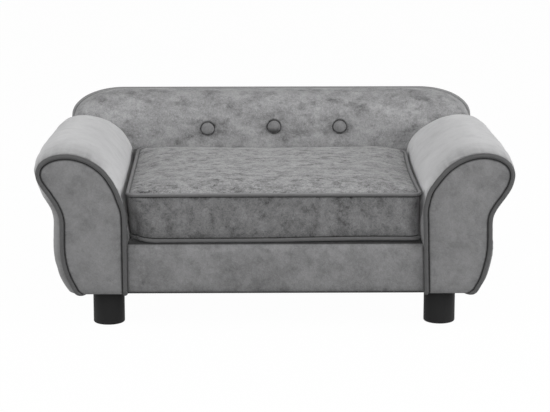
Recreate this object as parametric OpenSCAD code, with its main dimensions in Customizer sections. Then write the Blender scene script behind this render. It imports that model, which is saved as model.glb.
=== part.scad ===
// Small upholstered sofa bed for a dog: rolled arms with piped facings, a low buttoned
// backrest, a loose box cushion with a zipped cover, a board frame and four round feet.
// Millimetres. Origin at the middle of the footprint on the floor, +X to the viewer's
// right, +Y to the back, +Z up.

/* [Overall size] */
// Width over the two rolled arms
sofa_w = 720; // [640:1:860]
// Depth from the arm piping to the rear cover
sofa_d = 450; // [420:1:560]
// Height to the top of the backrest
sofa_h = 300; // [290:1:360]
// Height of the frame's underside above the floor
base_h = 54; // [44:1:80]

/* [Arms] */
// Width of one arm from its inner side to the outside of the roll
arm_w = 137; // [125:1:150]
// Height of one arm from its underside to the top of the roll
arm_rise = 216.5; // [205:0.5:225]
// How far the cover swells beyond the piping low on the outer side
arm_swell = 9; // [4:0.5:12]
// Diameter of the piping round the arm facings
arm_piping_d = 8; // [5:0.5:9]
// Thickness of the arms' front and rear boards
arm_board_t = 15; // [9:1:18]
// Thickness of the foam wrapped round each arm
arm_foam_t = 12; // [6:1:14]

/* [Backrest] */
// Thickness of the whole backrest
back_t = 77; // [70:1:90]
// How far the backrest's side stands inside the arm's widest point
back_side_inset = 23; // [16:1:32]
// Width of the rounded upper corners
back_corner_w = 88; // [60:1:110]
// Height of the rounded upper corners
back_corner_h = 45; // [30:1:60]
// Rise of the padding in the middle above the piped edge
back_crown = 1.5; // [0.5:0.5:4]
// Depth of the roll from the front of the padding over its top
back_roll_drop = 46; // [30:1:56]
// Rounding of the padding's side edges
back_side_round = 12; // [8:1:20]
// Diameter of the backrest piping
back_piping_d = 6; // [4:0.5:8]
// Thickness of the backrest board
back_board_t = 12; // [9:1:15]
// Depth of the rim frame behind the backrest board
back_rim_t = 25; // [16:1:30]
// Width of the rim frame's members
back_rim_w = 34; // [24:1:45]

/* [Buttons] */
// Diameter of a covered button
button_d = 22; // [16:1:28]
// Thickness of a covered button
button_t = 5.5; // [4:0.5:6]
// Distance between two buttons
button_pitch = 110; // [70:1:140]
// Distance from the top of the backrest down to the middle of the buttons
button_drop = 60; // [54:1:72]
// Depth of the dimple that a button draws into the padding
tuft_depth = 6.5; // [4:0.5:8]
// Diameter of that dimple at the face
tuft_d = 62; // [40:1:70]

/* [Seat base] */
// Height of the deck cloth above the floor
deck_h = 134.5; // [124:0.5:140]
// How far the base front stands behind the front of the arm piping
base_front_inset = 9; // [8:0.5:14]
// Thickness of the rails
rail_t = 18; // [12:1:22]
// Thickness of the seat board
seat_board_t = 12; // [9:1:15]
// Thickness of the pad on the seat board
deck_pad_t = 8; // [5:1:12]
// Thickness of the pad on the front rail
front_pad_t = 6; // [4:1:9]

/* [Cushion] */
// Distance from the bottom piping to the top piping of the cushion
cushion_band_h = 68; // [56:1:80]
// Rise of the crown above the top piping
cushion_crown = 13; // [8:1:18]
// How far each side draws in between its corners
cushion_pull = 3; // [1:0.5:5]
// How far the band draws in between the two pipings
band_pull = 4.5; // [3.5:0.5:6]
// Diameter of the cushion piping
cushion_piping_d = 5; // [4:0.5:6]
// Radius of the two front corners
cushion_front_r = 20; // [14:1:36]
// Radius of the two rear corners
cushion_rear_r = 44; // [24:1:60]
// Distance from the front of the arm piping to the front of the cushion
cushion_front_inset = 12.5; // [10:0.5:20]
// Gap beside the cushion on each side
cushion_side_gap = 0.8; // [0.6:0.1:3]
// Gap between the cushion and the backrest
cushion_rear_gap = 1.5; // [1:0.5:4]

/* [Zip] */
// Length of the zip in the rear of the band
zip_len = 330; // [240:1:350]
// Width of the zip tape
zip_tape_w = 24; // [18:1:30]
// Width of the closed row of teeth
zip_teeth_w = 5; // [4:0.5:6]

/* [Feet] */
// Diameter of a foot
foot_d = 48; // [36:1:60]
// Distance from the outside of an arm's roll to the middle of a foot
foot_side_inset = 106; // [98:1:112]
// Distance from the front of the arm piping to the middle of a front foot
foot_front_inset = 49; // [46:1:60]
// Distance from the rear cover to the middle of a rear foot
foot_rear_inset = 56; // [55:1:58]
// Radius of the rounded lower edge
foot_edge_r = 2; // [1:0.5:4]
// Diameter of the screw shank that holds a foot
foot_screw_d = 5; // [4:0.5:6]

/* [Cloth and clearances] */
// Thickness of the upholstery cloth
cloth_t = 2; // [1.5:0.5:2.5]
// Thickness of the cushion's cloth
cushion_cloth_t = 1.5; // [1:0.5:2]
// Thickness of the dust cover
dust_t = 1; // [0.5:0.5:1.5]
// Gap between bodies that move past each other
run_gap = 0.3; // [0.3:0.1:0.5]

/* [Hidden] */

// Main planes
half_w = sofa_w / 2;
front_y = -sofa_d / 2;
rear_y = sofa_d / 2;
arm_in = half_w - arm_w;
back_front = rear_y - back_t;
side_x = half_w - back_side_inset;
edge_top = sofa_h - back_crown;
foot_x = half_w - foot_side_inset;
button_h = sofa_h - button_drop;

// Sides of the round cords, and the distance of their flat sides from the middle
cord_sides = 6;
cord_flat_share = cos(180 / cord_sides);

// Arm, from the piping backwards
seam_share = 0.88;
arm_piping_r = arm_piping_d / 2;
arm_piping_y = front_y + arm_piping_r;
arm_cover_y = arm_piping_y + arm_piping_r * seam_share;
facing_t = 12;
facing_back = front_y + facing_t;
facing_sink = 2;
facing_round = 6;
facing_lip = 1;
facing_seam_gap = 0.5;
facing_seam = arm_piping_r * (1 + cord_flat_share);
facing_crown_share = 0.3;
board_margin = 3;
arm_rear_y = back_front - cloth_t;
bolt_d = 6;
bolt_head_r = 7;
bolt_head_h = 3;
bolt_share = 0.38;
bolt_height_shares = [0.26, 0.62];
arm_base_t = 12;
swell_run = facing_back + arm_board_t - arm_cover_y;
batten_w = 30;
batten_t = 18;

// Backrest, from the rear cover forwards
back_piping_r = back_piping_d / 2;
back_piping_y = rear_y - cloth_t - back_piping_r;
back_cover_y = back_piping_y - back_piping_r;
rim_back = rear_y - cloth_t;
rim_front = rim_back - back_rim_t;
back_board_y = rim_front - back_board_t;
back_rear_margin = 1;

// Seat base
rail_front = front_y + base_front_inset + cloth_t + front_pad_t;
pad_front = rail_front - front_pad_t;
board_top = deck_h - cloth_t - deck_pad_t;
rail_top = board_top - seat_board_t;
rail_h = rail_top - base_h;
base_edge_r = 6;
slat_w = 40;
slat_h = 28;
screw_r = 2;
screw_head_r = 4;
screw_head_h = 3;
screw_len = 45;
screw_height_shares = [0.28, 0.72];
board_screw_len = 26;
board_screw_shares = [-0.7, 0, 0.7];

// Buttons
tuft_r = tuft_d / 2;
button_r = button_d / 2;
tuft_steps = 8;
twine_r = 0.8;
toggle_r = 9;
toggle_t = 2;
tuft_overrun = 2;
button_rim = 1.5;
button_steps = 5;
// Depth of the dimple's surface at the button's rim
button_seat = tuft_depth * pow(1 - pow(button_r / tuft_r, 2), 2);

// Feet
foot_h = base_h - dust_t;
foot_hole_r = 8;
foot_web_h = 25;
foot_screw_z = foot_h - foot_web_h;
foot_shank_gap = 0.25;
foot_head_r = 5;
foot_head_h = 3;
foot_screw_len = 62;
front_foot_y = front_y + foot_front_inset;
rear_foot_y = rear_y - foot_rear_inset;
block_w = 40;
block_h = 40;
block_depth = 46;
rear_block_depth = 33;
dust_margin = 7;
dust_front_margin = 3.5;
dust_side_margin = 40;
dust_hw = side_x - dust_side_margin;

// Cushion
cushion_piping_r = cushion_piping_d / 2;
cushion_low = deck_h + run_gap;
low_piping_z = cushion_low + cushion_piping_r;
high_piping_z = low_piping_z + cushion_band_h;
cushion_hw = arm_in - cushion_side_gap;
cushion_front = front_y + cushion_front_inset;
cushion_rear = back_front - cushion_rear_gap;
crown_run_share = 0.42;
crown_run = (cushion_rear - cushion_front) * crown_run_share;
corner_keep_share = 0.8;
low_edge = 16;
low_mid_share = 0.33;
low_rise = 2;
low_count = 3;
mid_z = (low_piping_z + high_piping_z) / 2;
band_rear = cushion_rear - cushion_piping_r - band_pull;

// Zip
tape_t = 0.6;
teeth_t = 1.4;
teeth_pitch = 5;
slider_len = 12;
slider_flange = 2;
slider_plate_t = 1.5;
puller_t = 1.2;
puller_w = 7;
puller_len = 22;
puller_eye_r = 1.5;
puller_eye_share = 0.6;
zip_end = 6;
teeth_run = zip_len - 2 * zip_end;
teeth_count = floor(teeth_run / teeth_pitch);
teeth_y = band_rear + tape_t;
slider_y = teeth_y + run_gap;
slider_top = teeth_y + teeth_t + run_gap + slider_plate_t;
slider_x = teeth_run / 2 - slider_len / 2;

// Pieces of the curves
curve_steps = 2;
corner_steps = 8;
top_steps = 6;
side_steps = 6;
round_steps = 5;
overrun = 1;

// Colours
plush = [0.50, 0.50, 0.51];
plush_light = [0.70, 0.70, 0.71];
plush_dark = [0.44, 0.44, 0.45];
piping_grey = [0.32, 0.32, 0.33];
board_tan = [0.76, 0.62, 0.43];
foam_cream = [0.93, 0.89, 0.72];
lining_black = [0.12, 0.12, 0.13];
foot_black = [0.08, 0.08, 0.085];
steel_grey = [0.72, 0.73, 0.75];

// Points of the arm's outline as shares of its width and rise, from the lower outer
// corner up the outer side, round the roll and down to where the inner side is straight
scroll_shares = [
    [0.598, 0.000], [0.675, 0.106], [0.726, 0.210], [0.749, 0.314],
    [0.752, 0.430], [0.759, 0.536], [0.800, 0.624], [0.872, 0.697], [0.942, 0.758],
    [0.988, 0.813], [0.998, 0.868], [0.961, 0.924], [0.876, 0.968], [0.766, 0.993],
    [0.635, 1.000], [0.496, 0.984], [0.358, 0.945], [0.219, 0.873], [0.110, 0.769],
    [0.040, 0.656], [0.007, 0.582], [0.000, 0.490]
];
// The arm's bottom board, and the middle of its roll
arm_base_in = arm_in + cloth_t + board_margin;
arm_base_out = arm_in + scroll_shares[0][0] * arm_w - arm_foam_t;
roll_share = 0.635;
roll_x = arm_in + roll_share * arm_w;
// Share of the swell that each of those points takes
swell_shares = [
    0.80, 1.00, 1.00, 1.00, 0.85, 0.75, 0.65, 0.45, 0.25, 0.08,
    0, 0, 0, 0, 0, 0, 0, 0, 0, 0, 0, 0
];
// Sections of the arm cover: share of the swell run, and share of the swell there
swell_run_shares = [[0, 0], [0.25, 0.5], [0.6, 0.88], [1, 1]];

// Sections of the backrest's padding, from the rear edge over the top to the face:
// share of the depth, share of the roll drop, share of the side rounding, share of the
// crown, and how far the section already faces forwards
back_section_shares = [
    [1.00, 0.07, 0.10, 0.0, 0.0],
    [0.78, 0.00, 0.00, 1.0, 0.0],
    [0.52, 0.04, 0.02, 1.0, 0.1],
    [0.32, 0.14, 0.08, 0.8, 0.3],
    [0.14, 0.36, 0.28, 0.4, 0.6],
    [0.04, 0.66, 0.60, 0.1, 0.9],
    [0.00, 1.00, 1.00, 0.0, 1.0]
];

// Sections of the cushion's crown: share of the run inwards, share of the rise
crown_shares = [[0, 0.06], [0.05, 0.38], [0.16, 0.68], [0.38, 0.90], [0.68, 0.98], [1, 1]];
crown_count = len(crown_shares);
// Sections of the cushion's band: share of the height, share of the pull
band_shares = [[0, 0], [0.10, 0.62], [0.28, 1], [0.72, 1], [0.90, 0.62], [1, 0]];
band_count = len(band_shares);

// One tooth of the zip: share of the pitch, share of the half width
tooth_shares = [[0, 0.7], [0.25, 1], [0.5, 1], [0.75, 0.7]];
// Outline of the zip's slider: share of its length, share of its half width
slider_shares = [[-0.5, -0.7], [0.2, -1], [0.5, -0.8], [0.5, 0.8], [0.2, 1], [-0.5, 0.7]];
// Outline of the puller: share of its width, share of its length
puller_shares = [
    [0.5, 0.13], [-0.5, 0.13], [-0.5, -0.68], [-0.3, -0.87], [0.3, -0.87], [0.5, -0.68]
];

// Outline tools

// A smooth curve through the points, with steps pieces between two of them
function spline(p, steps) = [
    for (i = [0 : len(p) - 2], j = [0 : steps - 1])
        let (a = p[max(i - 1, 0)], b = p[i], c = p[i + 1], d = p[min(i + 2, len(p) - 1)],
             t = j / steps)
            (b * 2 + (c - a) * t + (a * 2 - b * 5 + c * 4 - d) * t * t
                + (b * 3 - a - c * 3 + d) * t * t * t) / 2,
    p[len(p) - 1]
];

function reversed(p) = [for (i = [len(p) - 1 : -1 : 0]) p[i]];

// The inward normal of the edge from a to b of an outline that runs anticlockwise
function edge_normal(a, b) = [a[1] - b[1], b[0] - a[0]] / norm(b - a);

// The outline moved inwards by d
function inset(p, d) = [
    for (i = [0 : len(p) - 1])
        let (n = len(p), u = edge_normal(p[(i + n - 1) % n], p[i]),
             v = edge_normal(p[i], p[(i + 1) % n]))
            p[i] + (u + v) * d / (1 + u * v)
];

function at_y(outline, y) = [for (p = outline) [p[0], y, p[1]]];
function at_z(outline, z) = [for (p = outline) [p[0], p[1], z]];

// Solid tools

// A slab of an XZ outline between two planes across Y
module slab(outline, y0, y1) {
    translate([0, y1, 0])
        rotate([90, 0, 0])
            linear_extrude(y1 - y0)
                polygon(outline);
}

// A board from its lowest to its highest corner
module board(low, high) {
    translate(low)
        cube(high - low);
}

// The faces between rings a and b; where they run back, the diagonals lie the other way
function ring_faces(count, a, b, back = false) = [
    for (i = [0 : count - 1], half = [0, 1])
        let (j = (i + 1) % count, ai = a * count + i, bi = b * count + i,
             aj = a * count + j, bj = b * count + j)
            half == 0 ? [ai, bi, back ? bj : aj] : back ? [ai, bj, aj] : [aj, bi, bj]
];

// A closed skin through rings of equal count, with its two end rings filled, or with
// the last ring joined to the first where it is looped; the rings from the first to the
// last of back run back along the inside, and lie face to face with what they enclose
module skin(rings, looped = false, back = [-1, -1]) {
    count = len(rings[0]);
    last = len(rings) - 1;
    walls = [for (k = [0 : last - 1]) each ring_faces(count, k, k + 1, k >= back[0] && k < back[1])];
    ends = looped
        ? ring_faces(count, last, 0)
        : [[for (i = [0 : count - 1]) i], [for (i = [count - 1 : -1 : 0]) last * count + i]];
    polyhedron(points = [for (r = rings) each r], faces = concat(walls, ends), convexity = 8);
}

// A round cord along a flat path; side is the unit normal of the path's plane
function path_tangent(p, i, closed) =
    let (n = len(p), a = closed ? p[(i + n - 1) % n] : p[max(i - 1, 0)],
         b = closed ? p[(i + 1) % n] : p[min(i + 1, n - 1)])
    (b - a) / norm(b - a);
function cord_ring(p, i, r, side, closed) =
    let (out = cross(path_tangent(p, i, closed), side))
    [for (k = [0 : cord_sides - 1]) let (g = -90 - 360 * k / cord_sides)
        p[i] + out * r * cos(g) + side * r * sin(g)];
module cord(path, r, side, closed) {
    skin([for (i = [0 : len(path) - 1]) cord_ring(path, i, r, side, closed)], closed);
}

// Arm outline for the right arm

function arm_points(swell) = [
    for (i = [0 : len(scroll_shares) - 1])
        [arm_in + scroll_shares[i][0] * arm_w + swell * swell_shares[i],
         base_h + scroll_shares[i][1] * arm_rise]
];
function arm_outline(swell) = concat([[arm_in, base_h]], spline(arm_points(swell), curve_steps));

// Backrest outline, drawn in by dx at the sides and dz at the top, raised by lift below
function back_outline(dx, dz, crown = 0, lift = 0) =
    let (hw = side_x - dx, a = back_corner_w - dx, top = edge_top - dz,
         flat = side_x - back_corner_w)
    concat(
        [[-hw, base_h + lift], [hw, base_h + lift]],
        [for (i = [0 : corner_steps]) let (g = 90 * i / corner_steps)
            [flat + a * cos(g), top - back_corner_h * (1 - sin(g))]],
        [for (i = [1 : top_steps - 1]) let (s = 1 - 2 * i / top_steps)
            [flat * s, top + crown * (1 - s * s)]],
        [for (i = [0 : corner_steps]) let (g = 90 + 90 * i / corner_steps)
            [-flat + a * cos(g), top - back_corner_h * (1 - sin(g))]]
    );

// Cushion outline seen from above, drawn in by d, its front and sides pulled in
function plan_side(a, b, pull) = [
    for (i = [1 : side_steps - 1])
        let (t = i / side_steps)
            a + (b - a) * t + edge_normal(a, b) * pull * 4 * t * (1 - t)
];
function plan_corner(c, r, start) = [
    for (i = [0 : round_steps])
        let (g = start + 90 * i / round_steps)
            c + [cos(g), sin(g)] * r
];
function cushion_outline(d) =
    let (hw = cushion_hw - d, f = cushion_front + d, b = cushion_rear - d,
         keep = 1 - corner_keep_share * d / crown_run,
         rf = cushion_front_r * keep, rb = cushion_rear_r * keep)
    concat(
        plan_side([-hw + rf, f], [hw - rf, f], cushion_pull),
        plan_corner([hw - rf, f + rf], rf, -90),
        plan_side([hw, f + rf], [hw, b - rb], cushion_pull),
        plan_corner([hw - rb, b - rb], rb, 0),
        plan_side([hw - rb, b], [-hw + rb, b], 0),
        plan_corner([-hw + rb, b - rb], rb, 90),
        plan_side([-hw, b - rb], [-hw, f + rf], cushion_pull),
        plan_corner([-hw + rf, f + rf], rf, 180)
    );

// Seat base

// A countersunk screw that points along +Z from its head's face
module wood_screw(length) {
    rotate_extrude($fn = 32)
        polygon([[0, 0], [screw_head_r, 0], [screw_r, screw_head_h], [screw_r, length], [0, length]]);
}

// The rails are screwed together from the front and from the back
module at_frame_screws() {
    for (s = [-1, 1], share = screw_height_shares) {
        translate([s * (arm_in - rail_t / 2), rail_front, base_h + rail_h * share])
            rotate([-90, 0, 0])
                wood_screw(screw_len);
        translate([s * (arm_in - rail_t / 2), back_board_y, base_h + rail_h * share])
            rotate([90, 0, 0])
                wood_screw(screw_len);
    }
}

// The backrest board is screwed to the rear rail
module at_board_screws() {
    for (s = board_screw_shares)
        translate([s * arm_in, rim_front, base_h + rail_h / 2])
            rotate([90, 0, 0])
                wood_screw(board_screw_len);
}

module front_rail() {
    color(board_tan)
        difference() {
            board([-arm_in, rail_front, base_h], [arm_in, rail_front + rail_t, rail_top]);
            at_frame_screws();
        }
}

module rear_rail() {
    color(board_tan)
        difference() {
            board([-arm_in, back_board_y - rail_t, base_h], [arm_in, back_board_y, rail_top]);
            at_frame_screws();
            at_board_screws();
        }
}

module side_rail() {
    color(board_tan)
        difference() {
            board(
                [arm_in - rail_t, rail_front + rail_t, base_h],
                [arm_in, back_board_y - rail_t, rail_top]
            );
            at_frame_screws();
        }
}

module left_side_rail() {
    mirror([1, 0, 0])
        side_rail();
}

module right_side_rail() {
    side_rail();
}

module centre_slat() {
    color(board_tan)
        board(
            [-slat_w / 2, rail_front + rail_t, rail_top - slat_h],
            [slat_w / 2, back_board_y - rail_t, rail_top]
        );
}

module seat_board() {
    color(board_tan)
        board([-arm_in, rail_front, rail_top], [arm_in, back_board_y, board_top]);
}

module deck_pad() {
    color(foam_cream)
        board([-arm_in, rail_front, board_top], [arm_in, back_front, board_top + deck_pad_t]);
}

module deck_cloth() {
    color(plush)
        board([-arm_in, rail_front, deck_h - cloth_t], [arm_in, back_front, deck_h]);
}

// The rounded upper edge of the base front, in the YZ plane
function front_edge(r) = [
    for (g = [90 : 15 : 180])
        [pad_front - cloth_t + base_edge_r + r * cos(g), deck_h - base_edge_r + r * sin(g)]
];

module across_base() {
    translate([-arm_in, 0, 0])
        rotate([90, 0, 90])
            linear_extrude(2 * arm_in)
                children();
}

module front_pad() {
    color(foam_cream)
        across_base()
            polygon(concat(
                [[rail_front, base_h], [rail_front, deck_h - cloth_t]],
                front_edge(base_edge_r - cloth_t),
                [[pad_front, base_h]]
            ));
}

module base_front_cover() {
    color(plush)
        across_base()
            polygon(concat(
                [[rail_front, deck_h - cloth_t], [rail_front, deck_h]],
                front_edge(base_edge_r),
                [[pad_front - cloth_t, base_h], [pad_front, base_h]],
                reversed(front_edge(base_edge_r - cloth_t))
            ));
}

module frame_screws() {
    color(steel_grey) {
        at_frame_screws();
        at_board_screws();
    }
}

// Arms, made for the right and mirrored for the left

function arm_section(k, d) =
    let (s = swell_run_shares[k])
    at_y(inset(arm_outline(arm_swell * s[1]), d), arm_cover_y + swell_run * s[0]);
function arm_sections(d, end) = concat(
    [for (k = [0 : len(swell_run_shares) - 1]) arm_section(k, d)],
    [at_y(inset(arm_outline(arm_swell), d), end)]
);

module arm_cover() {
    color(plush_light)
        difference() {
            skin(concat(reversed(arm_sections(0, arm_rear_y)), arm_sections(cloth_t, arm_rear_y)), true);
            foot_shanks();
        }
}

module arm_front_board() {
    color(board_tan)
        slab(inset(arm_outline(0), cloth_t + board_margin), facing_back, facing_back + arm_board_t);
}

module arm_rear_board() {
    color(board_tan)
        difference() {
            slab(inset(arm_outline(0), cloth_t + board_margin), arm_rear_y - arm_board_t, arm_rear_y);
            arm_bolt_shanks();
        }
}

// The bottom board, the batten under the roll and the batten in the inner side
module arm_battens() {
    y0 = facing_back + arm_board_t;
    y1 = arm_rear_y - arm_board_t;
    low = base_h + cloth_t;
    roof = base_h + arm_rise - cloth_t - arm_foam_t - board_margin;
    side = arm_in + cloth_t + arm_foam_t;
    color(board_tan) {
        difference() {
            board([arm_base_in, y0, low], [arm_base_out, y1, low + arm_base_t]);
            foot_shanks();
        }
        board([roll_x - batten_w / 2, y0, roof - batten_t], [roll_x + batten_w / 2, y1, roof]);
        board([side, y0, rail_top], [side + batten_t, y1, rail_top + batten_w]);
    }
}

module arm_foam() {
    y0 = facing_back + arm_board_t;
    y1 = arm_rear_y - arm_board_t;
    inside = cloth_t + arm_foam_t;
    color(foam_cream)
        difference() {
            slab(inset(arm_outline(arm_swell), cloth_t), y0, y1);
            slab(inset(arm_outline(0), inside), y0 - overrun, y1 + overrun);
            board(
                [arm_base_in, y0 - overrun, base_h],
                [arm_base_out, y1 + overrun, base_h + inside + overrun]
            );
            front_foot_block();
        }
}

// The piped outline drawn in by d, as a ring at y
function arm_ring(d, y) = at_y(inset(arm_outline(0), d), y);

module arm_facing() {
    sink = front_y + facing_sink;
    edge = cloth_t + board_margin;
    crown = facing_crown_share;
    color(plush_dark)
        skin([
            arm_ring(edge, facing_back),
            arm_ring(edge + facing_lip, arm_piping_y + arm_piping_r + facing_seam_gap),
            arm_ring(facing_seam, arm_piping_y + arm_piping_r / 2),
            arm_ring(facing_seam, arm_piping_y),
            arm_ring(facing_seam + facing_round * crown, sink + facing_lip * crown),
            arm_ring(facing_seam + facing_round, sink)
        ]);
}

module arm_piping() {
    path = [for (p = inset(arm_outline(0), arm_piping_r)) [p[0], arm_piping_y, p[1]]];
    color(piping_grey)
        cord([for (i = [1 : len(path)]) path[i % len(path)]], arm_piping_r, [0, 1, 0], false);
}

module arm_rear_panel() {
    color(plush_light)
        difference() {
            slab(arm_outline(arm_swell), arm_rear_y, back_front);
            arm_bolt_shanks();
        }
}

module left_arm_front_board() {
    mirror([1, 0, 0])
        arm_front_board();
}

module right_arm_front_board() {
    arm_front_board();
}

module left_arm_rear_board() {
    mirror([1, 0, 0])
        arm_rear_board();
}

module right_arm_rear_board() {
    arm_rear_board();
}

module left_arm_battens() {
    mirror([1, 0, 0])
        arm_battens();
}

module right_arm_battens() {
    arm_battens();
}

module left_arm_foam() {
    mirror([1, 0, 0])
        arm_foam();
}

module right_arm_foam() {
    arm_foam();
}

module left_arm_cover() {
    mirror([1, 0, 0])
        arm_cover();
}

module right_arm_cover() {
    arm_cover();
}

module left_arm_facing() {
    mirror([1, 0, 0])
        arm_facing();
}

module right_arm_facing() {
    arm_facing();
}

module left_arm_piping() {
    mirror([1, 0, 0])
        arm_piping();
}

module right_arm_piping() {
    arm_piping();
}

module left_arm_rear_panel() {
    mirror([1, 0, 0])
        arm_rear_panel();
}

module right_arm_rear_panel() {
    arm_rear_panel();
}

// Backrest

// One section of the padding; d moves it inwards by the cloth's thickness
function back_section(k, d) =
    let (s = back_section_shares[k], turn = s[4])
    at_y(
        back_outline(s[2] * back_side_round + d * (1 - turn), s[1] * back_roll_drop + d * (1 - turn),
                     s[3] * back_crown, d),
        back_front + (back_cover_y - back_front) * s[0] + d * turn
    );
function back_sections(d) = [for (k = [0 : len(back_section_shares) - 1]) back_section(k, d)];

// The padding's body, carried past its rear edge by more
module back_body(d, more) {
    sections = back_sections(d);
    tail = more > 0 ? [[for (p = sections[0]) p + [0, more, 0]]] : [];
    skin(concat(tail, sections));
}

// Bolts that hold the arms to the backrest board
module at_arm_bolts() {
    for (s = [-1, 1], share = bolt_height_shares)
        translate([s * (arm_in + bolt_share * arm_w), rim_front, base_h + share * arm_rise])
            rotate([90, 0, 0])
                children();
}
module arm_bolt_shanks() {
    at_arm_bolts()
        cylinder(h = rim_front - arm_rear_y + arm_board_t, d = bolt_d, $fn = 24);
}

module arm_bolts() {
    color(steel_grey) {
        arm_bolt_shanks();
        at_arm_bolts()
            translate([0, 0, -bolt_head_h])
                cylinder(h = bolt_head_h, r = bolt_head_r, $fn = 32);
    }
}

module at_buttons(y) {
    for (i = [-1 : 1])
        translate([i * button_pitch, y, button_h])
            rotate([-90, 0, 0])
                children();
}

// The dimple that a button draws into the face, grown by d for the inside of the cloth
module tuft(d) {
    rotate_extrude($fn = 36)
        polygon(concat(
            [[0, -tuft_overrun]],
            [[tuft_r, -tuft_overrun], [tuft_r, d]],
            [for (i = [tuft_steps - 1 : -1 : 0])
                let (s = i / tuft_steps)
                    [tuft_r * s, d + tuft_depth * (1 - s * s) * (1 - s * s)]]
        ));
}

// The seat frame runs under the padding to the backrest board
module seat_frame_space() {
    board([-arm_in, back_front - overrun, base_h - overrun], [arm_in, back_board_y, board_top]);
}

module twine_holes() {
    at_buttons(back_front)
        cylinder(h = back_t, r = twine_r, $fn = 24);
}

module backrest_cover() {
    color(plush)
        difference() {
            back_body(0, 0);
            at_buttons(back_front)
                tuft(0);
            difference() {
                back_body(cloth_t, overrun);
                at_buttons(back_front)
                    tuft(cloth_t);
            }
            seat_frame_space();
            twine_holes();
            arm_bolt_shanks();
            foot_shanks();
        }
}

module backrest_foam() {
    color(foam_cream)
        difference() {
            back_body(cloth_t, 0);
            at_buttons(back_front)
                tuft(cloth_t);
            slab(back_outline(back_piping_d, back_piping_d, 0, cloth_t), back_board_y, rear_y);
            rear_foot_block();
            mirror([1, 0, 0])
                rear_foot_block();
            seat_frame_space();
            twine_holes();
            arm_bolt_shanks();
        }
}

module backrest_board() {
    color(board_tan)
        difference() {
            slab(back_outline(back_piping_d, back_piping_d, 0, cloth_t), back_board_y, rim_front);
            twine_holes();
            arm_bolt_shanks();
            at_board_screws();
        }
}

module backrest_rim() {
    d = back_piping_d + back_rim_w;
    color(board_tan)
        difference() {
            slab(back_outline(back_piping_d, back_piping_d, 0, cloth_t), rim_front, rim_back);
            slab(back_outline(d, d, 0, cloth_t + back_rim_w), rim_front - overrun, rim_back + overrun);
        }
}

module backrest_rear_cover() {
    color(plush)
        slab(back_outline(back_rear_margin, back_rear_margin), rim_back, rear_y);
}

module backrest_piping() {
    outline = back_outline(back_piping_r, back_piping_r);
    path = [for (i = [1 : len(outline)]) outline[i % len(outline)]];
    color(piping_grey)
        cord([for (p = path) [p[0], back_piping_y, p[1]]], back_piping_r, [0, 1, 0], false);
}

module back_buttons() {
    color(plush_light)
        at_buttons(back_front + button_seat - button_t)
            rotate_extrude($fn = 32)
                polygon(concat(
                    [for (i = [0 : button_steps])
                        let (g = 90 * i / button_steps)
                            [button_r * sin(g), (button_t - button_rim) * (1 - cos(g))]],
                    [[button_r, button_t], [0, button_t]]
                ));
}

module button_twines() {
    color(lining_black)
        at_buttons(back_front + button_seat)
            cylinder(h = rim_front - back_front - button_seat, r = twine_r, $fn = 24);
}

module button_toggles() {
    color(lining_black)
        at_buttons(rim_front)
            cylinder(h = toggle_t, r = toggle_r);
}

// Feet

module at_feet() {
    for (s = [-1, 1], y = [front_foot_y, rear_foot_y])
        translate([s * foot_x, y, 0])
            children();
}

module foot_shanks() {
    at_feet()
        translate([0, 0, foot_screw_z])
            cylinder(h = foot_screw_len, d = foot_screw_d, $fn = 24);
}

module foot_block(y0, y1, z0) {
    board([foot_x - block_w / 2, y0, z0], [foot_x + block_w / 2, y1, z0 + block_h]);
}
module front_foot_block() {
    y0 = facing_back + arm_board_t;
    foot_block(y0, y0 + block_depth, base_h + cloth_t + arm_base_t);
}
module rear_foot_block() {
    foot_block(back_board_y - rear_block_depth, back_board_y, base_h + cloth_t);
}

module foot_blocks() {
    color(board_tan)
        difference() {
            for (s = [0, 1])
                mirror([s, 0, 0]) {
                    front_foot_block();
                    rear_foot_block();
                }
            foot_shanks();
        }
}

// A foot is turned from its outline: rounded below, with a web under its top that the
// screw bears on
module foot() {
    r = foot_d / 2;
    color(foot_black)
        rotate_extrude($fn = 64)
            polygon(concat(
                [[foot_hole_r, 0]],
                [for (g = [-90 : 15 : 0])
                    [r - foot_edge_r + foot_edge_r * cos(g), foot_edge_r + foot_edge_r * sin(g)]],
                [[r, foot_h], [foot_screw_d / 2 + foot_shank_gap, foot_h]],
                [[foot_screw_d / 2 + foot_shank_gap, foot_screw_z], [foot_hole_r, foot_screw_z]]
            ));
}

module front_left_foot() {
    translate([-foot_x, front_foot_y, 0])
        foot();
}

module front_right_foot() {
    translate([foot_x, front_foot_y, 0])
        foot();
}

module rear_left_foot() {
    translate([-foot_x, rear_foot_y, 0])
        foot();
}

module rear_right_foot() {
    translate([foot_x, rear_foot_y, 0])
        foot();
}

module foot_screws() {
    r = foot_screw_d / 2;
    top = foot_screw_z + foot_screw_len;
    color(steel_grey)
        at_feet()
            rotate_extrude($fn = 32)
                polygon([
                    [0, foot_screw_z - foot_head_h], [foot_head_r, foot_screw_z - foot_head_h],
                    [foot_head_r, foot_screw_z], [r, foot_screw_z], [r, top], [0, top]
                ]);
}

module dust_cover() {
    color(lining_black)
        difference() {
            board(
                [-dust_hw, rail_front - dust_front_margin, base_h - dust_t],
                [dust_hw, rear_y - dust_margin, base_h]
            );
            foot_shanks();
        }
}

// Cushion

function cushion_ring(d, z) = at_z(cushion_outline(d), z);

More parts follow.
